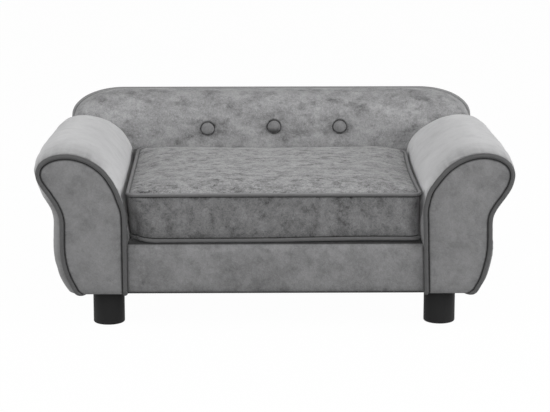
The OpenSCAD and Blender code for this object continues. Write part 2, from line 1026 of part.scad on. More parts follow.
function crown_ring(k, t) =
    let (s = crown_shares[k])
    cushion_ring(cushion_piping_d + t + s[0] * (crown_run - cushion_piping_d - t),
                 high_piping_z + s[1] * cushion_crown - t);
function band_ring(k, t) =
    let (s = band_shares[k], z0 = low_piping_z + cushion_piping_r, z1 = high_piping_z - cushion_piping_r)
    cushion_ring(cushion_piping_r + s[1] * band_pull + t, z0 + (z1 - z0) * s[0]);
function low_rings(t) = [
    cushion_ring(cushion_piping_d + low_edge + t, cushion_low + t),
    cushion_ring(cushion_piping_d + low_edge * low_mid_share + t,
                 cushion_low + t + low_rise * low_mid_share),
    cushion_ring(cushion_piping_d + t, cushion_low + t + low_rise)
];
module cushion_top_panel() {
    outer = [for (k = [0 : crown_count - 1]) crown_ring(k, 0)];
    inner = [for (k = [crown_count - 1 : -1 : 0]) crown_ring(k, cushion_cloth_t)];
    color(plush)
        skin(concat(inner, outer), back = [0, crown_count - 1]);
}

module cushion_band() {
    outer = [for (k = [0 : band_count - 1]) band_ring(k, 0)];
    inner = [for (k = [band_count - 1 : -1 : 0]) band_ring(k, cushion_cloth_t)];
    color(plush_dark)
        skin(concat(outer, inner), true, [band_count, 2 * band_count - 1]);
}

module cushion_bottom_panel() {
    color(plush_dark)
        skin(
            concat(low_rings(0), reversed(low_rings(cushion_cloth_t))),
            back = [low_count, 2 * low_count - 1]
        );
}

module cushion_core() {
    top = [for (k = [0 : crown_count - 1]) crown_ring(k, cushion_cloth_t)];
    band = [for (k = [0 : band_count - 1]) band_ring(k, cushion_cloth_t)];
    color(foam_cream)
        skin(concat(low_rings(cushion_cloth_t), band, top));
}

module cushion_cord(z) {
    color(piping_grey)
        cord(at_z(cushion_outline(cushion_piping_r), z), cushion_piping_r, [0, 0, 1], true);
}

module cushion_top_piping() {
    cushion_cord(high_piping_z);
}

module cushion_bottom_piping() {
    cushion_cord(low_piping_z);
}

// Zip in the rear of the band

module zip_tape() {
    color(piping_grey)
        board(
            [-zip_len / 2, band_rear, mid_z - zip_tape_w / 2],
            [zip_len / 2, teeth_y, mid_z + zip_tape_w / 2]
        );
}

// The closed row of teeth, cut along one outline
module zip_teeth() {
    h = zip_teeth_w / 2;
    edge = [
        for (i = [0 : teeth_count - 1], q = tooth_shares)
            [-teeth_run / 2 + (i + q[0]) * teeth_pitch, h * q[1]]
    ];
    color(lining_black)
        translate([0, 0, mid_z])
            slab(concat(reversed(edge), [for (p = edge) [p[0], -p[1]]]), teeth_y, teeth_y + teeth_t);
}

// The slider straddles the teeth and runs on the tape
module zip_slider() {
    h = zip_teeth_w / 2 + run_gap;
    w = h + slider_flange;
    color(steel_grey)
        translate([slider_x, 0, mid_z])
            difference() {
                slab([for (q = slider_shares) [q[0] * slider_len, q[1] * w]], slider_y, slider_top);
                board([-slider_len, slider_y - overrun, -h], [slider_len, slider_top - slider_plate_t, h]);
            }
}

// The puller hangs flat against the band from the slider's front plate
module zip_puller() {
    color(steel_grey)
        translate([slider_x, 0, mid_z])
            difference() {
                slab(
                    [for (q = puller_shares) [q[0] * puller_w, q[1] * puller_len]],
                    slider_top, slider_top + puller_t
                );
                translate([0, slider_top + puller_t + overrun, -puller_len * puller_eye_share])
                    rotate([90, 0, 0])
                        cylinder(h = puller_t + 2 * overrun, r = puller_eye_r, $fn = 24);
            }
}

front_rail();
rear_rail();
left_side_rail();
right_side_rail();
centre_slat();
seat_board();
deck_pad();
deck_cloth();
front_pad();
base_front_cover();
dust_cover();
frame_screws();
foot_blocks();
left_arm_front_board();
right_arm_front_board();
left_arm_rear_board();
right_arm_rear_board();
left_arm_battens();
right_arm_battens();
left_arm_foam();
right_arm_foam();
left_arm_cover();
right_arm_cover();
left_arm_facing();
right_arm_facing();
left_arm_piping();
right_arm_piping();
left_arm_rear_panel();
right_arm_rear_panel();
backrest_board();
backrest_rim();
backrest_foam();
backrest_cover();
backrest_rear_cover();
backrest_piping();
back_buttons();
button_twines();
button_toggles();
arm_bolts();
front_left_foot();
front_right_foot();
rear_left_foot();
rear_right_foot();
foot_screws();
cushion_core();
cushion_top_panel();
cushion_band();
cushion_bottom_panel();
cushion_top_piping();
cushion_bottom_piping();
zip_tape();
zip_teeth();
zip_slider();
zip_puller();
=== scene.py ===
"""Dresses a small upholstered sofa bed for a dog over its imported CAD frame, in metres."""

import logging
import math
from collections.abc import Iterator, Sequence
from contextlib import contextmanager
from dataclasses import dataclass, field
from enum import Enum

import bmesh
import bpy
import numpy as np
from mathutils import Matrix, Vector


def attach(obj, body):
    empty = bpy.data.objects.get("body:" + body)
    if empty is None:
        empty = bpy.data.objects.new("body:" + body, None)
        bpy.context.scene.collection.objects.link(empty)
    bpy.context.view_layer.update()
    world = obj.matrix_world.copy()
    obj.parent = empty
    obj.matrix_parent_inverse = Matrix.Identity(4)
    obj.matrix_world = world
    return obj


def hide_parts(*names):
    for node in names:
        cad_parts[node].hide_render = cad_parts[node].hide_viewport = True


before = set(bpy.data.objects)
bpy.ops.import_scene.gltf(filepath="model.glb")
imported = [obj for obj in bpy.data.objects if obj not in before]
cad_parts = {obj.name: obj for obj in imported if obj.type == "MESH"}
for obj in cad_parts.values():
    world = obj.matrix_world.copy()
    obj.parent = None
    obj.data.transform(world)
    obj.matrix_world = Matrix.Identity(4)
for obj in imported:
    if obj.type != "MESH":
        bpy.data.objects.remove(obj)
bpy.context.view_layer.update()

LOG = logging.getLogger("sofa")
WELD_GAP = 2e-5
SHORT_EDGE = 1e-6
NO_LENGTH = 1e-9
SEAM_REACH = 2.2
POINTS_AT_ONCE = 4000
Points = np.ndarray
Numbers = tuple[float, ...]
Table = tuple[Numbers, ...]
Colour = tuple[float, float, float]
Spot = tuple[float, float, float]


def grey(level: float, blue: float = 1.012) -> Colour:
    """A neutral grey in linear light.

    Args:
        level: the grey as it is seen, from 0 to 255.
        blue: how much stronger the blue is than the rest.

    Returns:
        The linear red, green and blue.
    """
    share = level / 255
    linear = share / 12.92 if share <= 0.04045 else ((share + 0.055) / 1.055) ** 2.4
    return (linear, linear, linear * blue)


# Curves and outlines


def spline(points: Sequence[Sequence[float]], steps: int) -> Points:
    """A smooth curve through the points.

    Args:
        points: the points it passes through.
        steps: pieces between two of them.

    Returns:
        The points of the curve, one row each.
    """
    p = np.asarray(points, float)
    rows = []
    for i in range(len(p) - 1):
        a, b, c, d = p[max(i - 1, 0)], p[i], p[i + 1], p[min(i + 2, len(p) - 1)]
        for t in np.arange(steps) / steps:
            square = (a * 2 - b * 5 + c * 4 - d) * t * t
            cube = (b * 3 - a - c * 3 + d) * t * t * t
            rows.append((b * 2 + (c - a) * t + square + cube) / 2)
    rows.append(p[-1])
    return np.array(rows)


def run_along(line: Points) -> Points:
    """How far along a line each of its points lies."""
    return np.concatenate([[0], np.cumsum(np.linalg.norm(np.diff(line, axis=0), axis=1))])


def evenly(points: Points, count: int) -> Points:
    """The open line through points, with count points evenly along it."""
    run = run_along(points)
    at = np.linspace(0, run[-1], count)
    return np.stack([np.interp(at, run, points[:, k]) for k in range(points.shape[1])], 1)


def inset(outline: Points, distance: float) -> Points:
    """A closed anticlockwise outline moved inwards by a distance, with mitred corners."""
    along = np.roll(outline, -1, axis=0) - outline
    normal = np.stack([-along[:, 1], along[:, 0]], 1)
    normal /= np.maximum(np.linalg.norm(normal, axis=1, keepdims=True), NO_LENGTH)
    before = np.roll(normal, 1, axis=0)
    share = 1 + np.sum(normal * before, axis=1, keepdims=True)
    return outline + (normal + before) * distance / np.maximum(share, 0.3)


def patch(bottom: Points, right: Points, top: Points, left: Points) -> Points:
    """A surface filled in between four edges that meet at its corners.

    Args:
        bottom: the edge from the first corner to the second.
        right: the edge from the second corner to the third.
        top: the edge from the fourth corner to the third.
        left: the edge from the first corner to the fourth.

    Returns:
        The points, as rows from bottom to top.
    """
    u = np.linspace(0, 1, len(bottom))[None, :, None]
    v = np.linspace(0, 1, len(left))[:, None, None]
    ruled = (1 - v) * bottom[None] + v * top[None] + (1 - u) * left[:, None] + u * right[:, None]
    corners = (
        (1 - u) * (1 - v) * bottom[0] + u * (1 - v) * bottom[-1]
        + (1 - u) * v * top[0] + u * v * top[-1]
    )
    return ruled - corners


def edge_distance(points: Points, outline: Points) -> Points:
    """How far each flat point is from a closed outline."""
    a, b = outline, np.roll(outline, -1, axis=0)
    best = np.full(len(points), np.inf)
    for start, end in zip(a, b):
        d = end - start
        t = np.clip(((points - start) @ d) / max(float(d @ d), 1e-12), 0, 1)
        best = np.minimum(best, np.linalg.norm(points - (start + t[:, None] * d), axis=1))
    return best


@dataclass(frozen=True)
class Ramp:
    """A smooth rise from 0, where it starts, to 1, a width further on."""

    start: float
    width: float

    def __call__(self, x: Points) -> Points:
        """How far it has risen at each place."""
        t = np.clip((x - self.start) / self.width, 0, 1)
        return t * t * (3 - 2 * t)


def read_off(table: Table, x: Points | float, column: int = 1, soft: float = 0) -> Points:
    """What a table says at each place, on straight lines between its rows.

    Args:
        table: the rows, each with its place first.
        x: the places asked for.
        column: which entry of the rows is read.
        soft: how far to either side the answer is averaged, which rounds the corners.

    Returns:
        The values.
    """
    rows = np.array(table)
    shifts = np.linspace(-soft, soft, 7) if soft else (0,)
    return np.mean([np.interp(x + shift, rows[:, 0], rows[:, column]) for shift in shifts], 0)


def ripple(points: Points, size: float, seed: float) -> Points:
    """A slow, seeded waviness from -1 to 1 at each point, with waves about size long."""
    q = points / size * 2 * math.pi
    a = np.sin(q[:, 0] + 1.7 * np.sin(0.61 * q[:, 1] + seed) + seed)
    b = np.sin(q[:, 1] * 0.93 + 1.3 * np.sin(0.47 * q[:, 2] + 2.1 * seed))
    c = np.sin(q[:, 2] * 1.07 + 1.9 * np.sin(0.53 * q[:, 0] - seed) + 0.7)
    return (a * b + b * c + c * a) / 3


# Meshes


class Mark(Enum):
    """Numbers that a sewn piece carries for its finish."""

    # This mark carries painted shade beside seams, round buttons, along edges and in crevices, and also
    # sets how strong the puckers are.
    NEAR_SEAM = "near_seam"
    SEAM_RUN = "seam_run"
    # This mark carries painted shade on a cord's flanks and underside.
    FLANK = "flank"


def linked(name: str, data: bpy.types.ID) -> bpy.types.Object:
    """A new object in the scene, made of a mesh, lamp or camera."""
    thing = bpy.data.objects.new(name, data)
    bpy.context.scene.collection.objects.link(thing)
    return thing


def mesh_object(name: str, points: Points, faces: Sequence[Sequence[int]]) -> bpy.types.Object:
    """A new smooth-shaded mesh object at the origin."""
    mesh = bpy.data.meshes.new(name)
    mesh.from_pydata([tuple(map(float, p)) for p in points], [], [tuple(f) for f in faces])
    mesh.update()
    mesh.shade_smooth()
    return linked(name, mesh)


def sewn(name: str, surfaces: Sequence[Points], looped: Sequence[bool] = ()) -> bpy.types.Object:
    """One form sewn from several surfaces, merged along their common edges.

    Args:
        name: the piece's name.
        surfaces: the surfaces, each as rows of points.
        looped: for each surface, whether its rows close on themselves.

    Returns:
        The mesh object, with its faces pointing outwards.
    """
    points, faces, base = [], [], 0
    loops = list(looped) + [False] * (len(surfaces) - len(looped))
    for surface, loop in zip(surfaces, loops):
        rows, cols = surface.shape[:2]
        points.append(surface.reshape(-1, 3))
        for i in range(rows - 1):
            for j in range(cols if loop else cols - 1):
                k = (j + 1) % cols
                faces.append((
                    base + i * cols + j, base + i * cols + k,
                    base + (i + 1) * cols + k, base + (i + 1) * cols + j,
                ))
        base += rows * cols
    thing = mesh_object(name, np.concatenate(points), faces)
    weld(thing)
    return thing


@contextmanager
def opened(thing: bpy.types.Object) -> Iterator[bmesh.types.BMesh]:
    """Opens a mesh for work, then turns its faces outwards and smooths them."""
    work = bmesh.new()
    work.from_mesh(thing.data)
    yield work
    bmesh.ops.recalc_face_normals(work, faces=work.faces)
    work.to_mesh(thing.data)
    work.free()
    thing.data.shade_smooth()


def weld(thing: bpy.types.Object) -> None:
    """Merges a mesh's doubled points."""
    with opened(thing) as work:
        bmesh.ops.remove_doubles(work, verts=work.verts, dist=WELD_GAP)
        bmesh.ops.dissolve_degenerate(work, edges=work.edges, dist=SHORT_EDGE)


def close_ends(thing: bpy.types.Object) -> None:
    """Fills the small holes at a turned piece's poles."""
    with opened(thing) as work:
        bmesh.ops.holes_fill(work, edges=[e for e in work.edges if e.is_boundary], sides=0)


def vectors(items: bpy.types.bpy_prop_collection, name: str) -> Points:
    """A vector that each of a mesh's points or faces has, one row each."""
    flat = np.empty(len(items) * 3)
    items.foreach_get(name, flat)
    return flat.reshape(-1, 3)


def coordinates(thing: bpy.types.Object) -> Points:
    """A mesh's points, one row each."""
    return vectors(thing.data.vertices, "co")


def vertex_normals(thing: bpy.types.Object) -> Points:
    """A mesh's vertex normals, one row each."""
    return vectors(thing.data.vertices, "normal")


def set_coordinates(thing: bpy.types.Object, points: Points) -> None:
    """Moves a mesh's points."""
    thing.data.vertices.foreach_set("co", points.astype(np.float32).ravel())
    thing.data.update()


def push_out(thing: bpy.types.Object, height: Points) -> None:
    """Moves each of a mesh's points outwards by its own height."""
    set_coordinates(thing, coordinates(thing) + vertex_normals(thing) * height[:, None])


def mark(thing: bpy.types.Object, name: Mark, values: Points) -> None:
    """Stores a number at each point of a mesh for its finish to read."""
    layer = thing.data.attributes.new(name.value, "FLOAT", "POINT")
    layer.data.foreach_set("value", values.astype(np.float32))


def mark_seams(thing: bpy.types.Object, near: Points, along: Points) -> None:
    """Stores each point's painted seam shade, which starts from its nearness to its seams, and where
    along them it lies.
    """
    mark(thing, Mark.NEAR_SEAM, near)
    mark(thing, Mark.SEAM_RUN, along)


def beside_seam(points: Points, seam: Points, radius: float, count: int = 500) -> tuple[Points, Points]:
    """How near points are to a cord, and where along it they lie.

    Args:
        points: the points, one row each.
        seam: the cord's line.
        radius: the cord's radius.
        count: the points that the line is measured at.

    Returns:
        Each point's nearness, from 0 to 1, and its place along the cord in metres.
    """
    line = evenly(seam, count)
    run = run_along(line)
    near, along = np.empty(len(points)), np.empty(len(points))
    for start in range(0, len(points), POINTS_AT_ONCE):
        part = slice(start, start + POINTS_AT_ONCE)
        gap = np.linalg.norm(points[part, None] - line[None], axis=2)
        near[part] = np.exp(-((gap.min(axis=1) / (SEAM_REACH * radius)) ** 2))
        along[part] = run[gap.argmin(axis=1)]
    return near, along


def mirrored(thing: bpy.types.Object) -> bpy.types.Object:
    """A right piece's copy on the left side of the sofa's middle plane."""
    twin = linked(thing.name.replace("right", "left"), thing.data.copy())
    set_coordinates(twin, coordinates(twin) * [-1, 1, 1])
    twin.data.flip_normals()
    twin.data.update()
    return twin


def rounded(thing: bpy.types.Object) -> bpy.types.Object:
    """Adds one level of subdivision, the same in view and in render."""
    smooth = thing.modifiers.new("Rounding", "SUBSURF")
    smooth.levels = smooth.render_levels = 1
    return thing


# Node graphs


@dataclass(frozen=True)
class Wire:
    """One output socket, which arithmetic turns into Math nodes."""

    graph: "Graph"
    socket: bpy.types.NodeSocket

    def math(self, operation: str, *others: object) -> "Wire":
        """A Math node with this value and the others as its inputs."""
        return self.graph.reckon(operation, self, *others)

    @property
    def node(self) -> bpy.types.Node:
        """The node that this socket belongs to."""
        return self.socket.node

    def out(self, name: str) -> "Wire":
        """Another output of the same node."""
        return Wire(self.graph, self.node.outputs[name])

    def __add__(self, other: object) -> "Wire":
        """This value plus another."""
        return self.math("ADD", other)

    def __radd__(self, other: object) -> "Wire":
        """Another value plus this one."""
        return self.graph.reckon("ADD", other, self)

    def __sub__(self, other: object) -> "Wire":
        """This value less another."""
        return self.math("SUBTRACT", other)

    def __rsub__(self, other: object) -> "Wire":
        """Another value less this one."""
        return self.graph.reckon("SUBTRACT", other, self)

    def __mul__(self, other: object) -> "Wire":
        """This value times another."""
        return self.math("MULTIPLY", other)


class Graph:
    """Adds nodes to one tree and links them in the order that a finish or shape needs."""

    def __init__(self, tree: bpy.types.NodeTree) -> None:
        """Starts on an empty tree."""
        self.tree = tree

    def feed(self, socket: bpy.types.NodeSocket, value: object) -> None:
        """Sets a socket from a wire or from a plain value."""
        if isinstance(value, Wire):
            self.tree.links.new(value.socket, socket)
        else:
            socket.default_value = value

    def add(self, kind: str, settings: dict | None = None, inputs: dict | None = None) -> Wire:
        """Adds a node.

        Args:
            kind: the node's type.
            settings: its own settings, which are set first.
            inputs: values or wires for its sockets, by name.

        Returns:
            Its first output.
        """
        node = self.tree.nodes.new(kind)
        for name, value in (settings or {}).items():
            setattr(node, name, value)
        for name, value in (inputs or {}).items():
            self.feed(node.inputs[name], value)
        return Wire(self, node.outputs[0] if len(node.outputs) else node.inputs[0])

    def reckon(self, operation: str, *values: object) -> Wire:
        """A Math node with the values as its inputs, in order."""
        made = self.add("ShaderNodeMath", {"operation": operation})
        for socket, value in zip(made.node.inputs, values):
            self.feed(socket, value)
        return made

    def mix(self, factor: object, a: object, b: object, blend: str = "MIX") -> Wire:
        """A colour between a and b."""
        made = self.add("ShaderNodeMix", {"data_type": "RGBA", "blend_type": blend})
        for place, value in ((0, factor), (6, a), (7, b)):
            self.feed(made.node.inputs[place], value)
        return Wire(self, made.node.outputs[2])

    def between(self, value: Wire, low: float, high: float) -> Wire:
        """A smooth rise from 0, where the value is low, to 1, where it is high."""
        return self.add("ShaderNodeMapRange", {"interpolation_type": "SMOOTHSTEP"}, {
            "Value": value, "From Min": low, "From Max": high,
        })

    def flat_tone(self, level: Wire) -> Wire:
        """A neutral colour of the given level."""
        return self.add("ShaderNodeCombineColor", {}, {"Red": level, "Green": level, "Blue": level})

    def noise(self, place: Wire, scale: float, detail: float = 2, wander: float = 0) -> Wire:
        """A noise pattern from 0 to 1 whose waves are 1 / scale metres long."""
        return self.add("ShaderNodeTexNoise", {}, {
            "Vector": place, "Scale": scale, "Detail": detail, "Roughness": 0.55,
            "Distortion": wander,
        })

    def place(self) -> Wire:
        """The shaded point in the piece's own frame."""
        return self.add("ShaderNodeTexCoord").out("Object")

    def scaled(self, place: Wire, scale: Spot, shift: Spot = (0, 0, 0)) -> Wire:
        """A place, scaled along each axis and then shifted."""
        return self.add(
            "ShaderNodeMapping", {}, {"Vector": place, "Location": shift, "Scale": scale}
        )

    def marked(self, name: Mark) -> Wire:
        """A number that the piece carries at its points."""
        return self.add("ShaderNodeAttribute", {"attribute_name": name.value}).out("Fac")

    def tinted(self, colour: Colour, level: Wire) -> Wire:
        """The colour, made lighter or darker by a level."""
        return self.mix(1, (*colour, 1), self.flat_tone(level), "MULTIPLY")

    def relief(self, height: Wire, strength: float, depth: float) -> Wire:
        """Fine relief for a surface."""
        return self.add(
            "ShaderNodeBump", {}, {"Height": height, "Strength": strength, "Distance": depth}
        )

    def surface(self, tone: Wire, roughness: object, relief: Wire, **others: object) -> Wire:
        """A finish's shader.

        Args:
            tone: its colour.
            roughness: its roughness, as a number or a wire.
            relief: its fine relief.
            others: the shader's other inputs, with _ for a space.

        Returns:
            The shader.
        """
        rest = {name.replace("_", " "): value for name, value in others.items()}
        return self.add("ShaderNodeBsdfPrincipled", {}, {
            "Base Color": tone, "Roughness": roughness, "Normal": relief, **rest,
        })

    def seen_level(self, hidden: float, seen: float) -> Wire:
        """A level for rays that light the sofa, and another for what the camera sees."""
        path = self.add("ShaderNodeLightPath")
        glossy, clear = path.out("Is Glossy Ray"), path.out("Is Transmission Ray")
        return path.math("MAXIMUM", glossy).math("MAXIMUM", clear) * (seen - hidden) + hidden


def blank_graph(owner: bpy.types.Material | bpy.types.World) -> Graph:
    """The emptied node graph of a material or world."""
    owner.use_nodes = True
    owner.node_tree.nodes.clear()
    return Graph(owner.node_tree)


# Finishes


class Slot(Enum):
    """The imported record's material slots."""

    BOARD = "frame_board"
    FOAM = "foam"
    PIPING = "piping_cloth"
    LINING = "lining"
    BLACK_PLASTIC = "black_plastic"
    FOOT_PLASTIC = "foot_plastic"
    STEEL = "steel"
    CUSHION_PLUSH = "cushion_plush"
    ARM_PLUSH = "arm_plush"
    PLUSH = "plush"


MADE_MATERIALS: dict[str, bpy.types.Material] = {}


@dataclass(frozen=True)
class Finish:
    """A named finish, which turns into one material."""

    name: str
    slot: Slot

    def material(self) -> bpy.types.Material:
        """The finish's material, made once."""
        if self.name not in MADE_MATERIALS:
            made = bpy.data.materials.new(self.name)
            graph = blank_graph(made)
            graph.add("ShaderNodeOutputMaterial", {}, {"Surface": self.shade(graph)})
            MADE_MATERIALS[self.name] = made
        return MADE_MATERIALS[self.name]

    def shade(self, graph: Graph) -> Wire:
        """The finish's shader."""
        raise NotImplementedError

    def wear(self, thing: bpy.types.Object) -> None:
        """Puts the finish on an object."""
        thing.data.materials.clear()
        thing.data.materials.append(self.material())


@dataclass(frozen=True)
class Plush(Finish):
    """Short crushed pile: mottled patches, a fine grain, puckers beside its seams, and painted shade
    beside its seams, in crevices and low down.
    """

    colour: Colour = (0.2, 0.2, 0.2)
    mottle: float = 0.3
    grain: float = 0.25
    patch: float = 0.028
    stretch: Spot = (1, 1, 1)
    sheen: float = 0.25
    puckers: float = 0.6
    # The next two settings are painted shade beside seams and in the marked crevices: a dark line, and a
    # soft darkening.
    crease: float = 0.6
    hollow_shade: float = 0.12
    wrinkles: float = 0.0
    # The next four settings paint shade below the low span; on the outer side, past the side span, it
    # reaches side_drop higher.
    low_shade: float = 1.0
    low_span: tuple[float, float] = (0.180, 0.213)
    side_span: tuple[float, float] = (0.295, 0.330)
    side_drop: float = 0.008

    def shade(self, graph: Graph) -> Wire:
        """Pile whose lie changes from patch to patch."""
        place = graph.place()
        lay = graph.scaled(place, self.stretch)
        other = graph.scaled(place, self.stretch, (0.37, 0.11, 0.53))
        broad = graph.between(graph.noise(lay, 1 / self.patch, 3, 0.15), 0.36, 0.64)
        brushed = graph.between(graph.noise(lay, 2.6 / self.patch, 5, 0.2), 0.34, 0.66)
        crushed = graph.between(graph.noise(other, 1.5 / self.patch, 5, 0.25), 0.50, 0.68)
        nap = graph.noise(place, 260, 3, 0.9)
        fibre = graph.noise(place, 620, 3, 0.4)
        speck = graph.noise(place, 1500, 1)
        lie = (broad * 0.6 + brushed * 0.4 - crushed * 0.7 - 0.38) * self.mottle
        grain = (nap * 0.45 + fibre * 0.4 + speck * 0.15 - 0.5) * (2.4 * self.grain)
        across = graph.scaled(place, (0.25, 1, 0.25))
        wrinkle = graph.between(graph.noise(across, 40, 2, 0.5), 0.62, 0.74)
        wrinkle = wrinkle * graph.between(graph.noise(other, 16, 1), 0.46, 0.62) * self.wrinkles
        near = graph.marked(Mark.NEAR_SEAM)
        gather = graph.add(
            "ShaderNodeTexNoise", {"noise_dimensions": "1D"},
            {"W": graph.marked(Mark.SEAM_RUN), "Scale": 110, "Detail": 2},
        )
        # The puckers' share of the level is painted light and shade on them; their share of the height
        # is real relief.
        pucker = (gather - 0.5) * near.math("POWER", 0.5) * self.puckers
        # Painted shade beside seams and in the marked crevices: a dark line and a soft darkening.
        crease = graph.between(near, 0.38, 0.72) * self.crease
        hollow_shade = near.math("POWER", 0.3) * self.hollow_shade
        # Painted shade below the low span.
        lit = self.low_light(graph, place)
        level = (1 + lie + grain + pucker * 0.5 - hollow_shade) * (1 - crease) * lit
        height = lie * 0.7 + nap * 0.35 + fibre * 0.25 + speck * 0.1 + pucker * 2.0 - wrinkle
        return graph.surface(
            graph.tinted(self.colour, level), 0.86, graph.relief(height, 0.55, 0.0016),
            Sheen_Weight=self.sheen, Sheen_Roughness=0.45, Specular_IOR_Level=0.12,
        )

    def low_light(self, graph: Graph, place: Wire) -> Wire:
        """Painted shade: the level falls to the low shade below the piece's low span, and on its outer
        side the shade reaches higher.
        """
        spot = graph.add("ShaderNodeSeparateXYZ", {}, {"Vector": place})
        side = graph.between(spot.out("X").math("ABSOLUTE"), *self.side_span)
        below = graph.between(spot.out("Z") - side * self.side_drop, *self.low_span) * -1 + 1
        return below * (self.low_shade - 1) + 1


@dataclass(frozen=True)
class PipingCloth(Finish):
    """Tightly drawn bias cloth round a cord, with a twill run, small puckers and painted shade on its
    flanks.
    """

    colour: Colour = (0.08, 0.08, 0.08)

    def shade(self, graph: Graph) -> Wire:
        """Cloth drawn tight over a cord."""
        place = graph.place()
        fold = graph.noise(place, 190, 3, 0.6)
        fibre = graph.noise(place, 900, 2)
        # Painted shade on the cord's marked flanks and underside.
        level = (0.78 + fold * 0.3 + fibre * 0.16) * (graph.marked(Mark.FLANK) * -0.45 + 1)
        return graph.surface(
            graph.tinted(self.colour, level), 0.78,
            graph.relief(fold * 0.7 + fibre * 0.3, 0.4, 0.0008),
            Sheen_Weight=0.15, Specular_IOR_Level=0.2,
        )


@dataclass(frozen=True)
class Woven(Finish):
    """A plain lining or tape: two crossed sets of threads."""

    colour: Colour = (0.02, 0.02, 0.02)
    pitch: float = 0.0009
    roughness: float = 0.9

    def shade(self, graph: Graph) -> Wire:
        """Threads across each other, with a slow unevenness."""
        place = graph.place()
        waves = [
            graph.add(
                "ShaderNodeTexWave", {"bands_direction": axis},
                {"Vector": place, "Scale": 0.157 / self.pitch, "Distortion": 0.6, "Detail": 1},
            )
            for axis in ("X", "Y", "Z")
        ]
        weave = (waves[0] + waves[1] + waves[2]) * 0.33
        level = 0.7 + weave * 0.35 + graph.noise(place, 35, 3, 0.4) * 0.3
        return graph.surface(
            graph.tinted(self.colour, level), self.roughness, graph.relief(weave, 0.3, 0.0004),
            Specular_IOR_Level=0.2,
        )


@dataclass(frozen=True)
class Timber(Finish):
    """Sawn board with its grain along X, and darker late wood."""

    colour: Colour = (0.45, 0.29, 0.15)
    late: Colour = (0.27, 0.15, 0.07)

    def shade(self, graph: Graph) -> Wire:
        """Grain drawn out along the board."""
        long = graph.scaled(graph.place(), (0.12, 1, 1))
        rings = graph.noise(long, 90, 5, 1.8)
        pore = graph.noise(long, 700, 2)
        streak = graph.between(rings, 0.42, 0.62)
        tone = graph.mix(streak * 0.7 + pore * 0.2, (*self.colour, 1), (*self.late, 1))
        return graph.surface(tone, 0.62 + pore * 0.2, graph.relief(rings + pore * 0.5, 0.2, 0.0005))


@dataclass(frozen=True)
class Foam(Finish):
    """Open-celled foam."""

    colour: Colour = (0.75, 0.66, 0.4)

    def shade(self, graph: Graph) -> Wire:
        """Cells in the surface, and a slight yellowing."""
        place = graph.place()
        cells = graph.add("ShaderNodeTexVoronoi", {}, {"Vector": place, "Scale": 480})
        level = 0.72 + cells * 0.35 + graph.noise(place, 14, 3) * 0.2
        return graph.surface(
            graph.tinted(self.colour, level), 0.95, graph.relief(cells, 0.5, 0.001),
            Specular_IOR_Level=0.1,
        )


@dataclass(frozen=True)
class Moulded(Finish):
    """Moulded plastic with a fine spark-eroded grain and faint handling marks."""

    colour: Colour = (0.02, 0.02, 0.021)
    roughness: float = 0.42

    def shade(self, graph: Graph) -> Wire:
        """A fine even grain."""
        place = graph.place()
        grain = graph.noise(place, 1300, 2)
        scuff = graph.noise(place, 40, 4, 0.8)
        worn = tuple(c * 1.7 for c in self.colour)
        tone = graph.mix(scuff * 0.35, (*self.colour, 1), (*worn, 1))
        return graph.surface(
            tone, self.roughness + scuff * 0.14, graph.relief(grain, 0.25, 0.0003),
            Specular_IOR_Level=0.1,
        )


@dataclass(frozen=True)
class Metal(Finish):
    """Zinc-plated steel with fine turning marks."""

    colour: Colour = (0.62, 0.63, 0.65)

    def shade(self, graph: Graph) -> Wire:
        """Plated metal, slightly uneven."""
        mist = graph.noise(graph.place(), 260, 4, 0.6)
        dull = tuple(c * 0.6 for c in self.colour)
        tone = graph.mix(mist * 0.5, (*self.colour, 1), (*dull, 1))
        return graph.surface(tone, 0.26 + mist * 0.2, graph.relief(mist, 0.12, 0.0002), Metallic=1.0)


# Each plush's crease, hollow and low settings below are painted shade: beside seams, in crevices and low
# down.
ARM_PLUSH = Plush(
    "smooth_arm_plush", Slot.ARM_PLUSH, grey(209), mottle=0.10, grain=0.10, patch=0.05, crease=0.55,
    hollow_shade=0.42, puckers=0.8, wrinkles=0.45, low_shade=0.45,
)
FACING_PLUSH = Plush(
    "facing_plush", Slot.PLUSH, grey(130), mottle=0.20, grain=0.34, patch=0.036, crease=0.85
)
BACK_PLUSH = Plush(
    "back_plush", Slot.PLUSH, grey(148), mottle=0.42, grain=0.80, patch=0.030, stretch=(0.7, 1, 1.1),
    crease=0.75,
)
BASE_PLUSH = Plush(
    "base_plush", Slot.PLUSH, grey(128), mottle=0.30, grain=0.50, patch=0.040, crease=0.8,
    low_shade=0.84, low_span=(0.052, 0.080),
)
# The band, top and underside are one cushion plush: the top's lighter grey is painted light, the band's
# and underside's darker greys are painted shade.
BAND_PLUSH = Plush(
    "band_plush", Slot.CUSHION_PLUSH, grey(115), mottle=0.46, grain=0.95, patch=0.030, crease=0.8,
    hollow_shade=0.20, low_shade=0.88, low_span=(0.134, 0.162),
)
TOP_PLUSH = Plush(
    "top_plush", Slot.CUSHION_PLUSH, grey(142), mottle=0.62, grain=1.5, patch=0.020,
    stretch=(0.80, 1, 1), crease=0.8,
)
UNDER_PLUSH = Plush("under_plush", Slot.CUSHION_PLUSH, grey(104), mottle=0.30, grain=0.30)
BUTTON_PLUSH = Plush(
    "button_plush", Slot.PLUSH, grey(128), mottle=0.20, grain=0.30, patch=0.012, puckers=0, crease=0.7
)
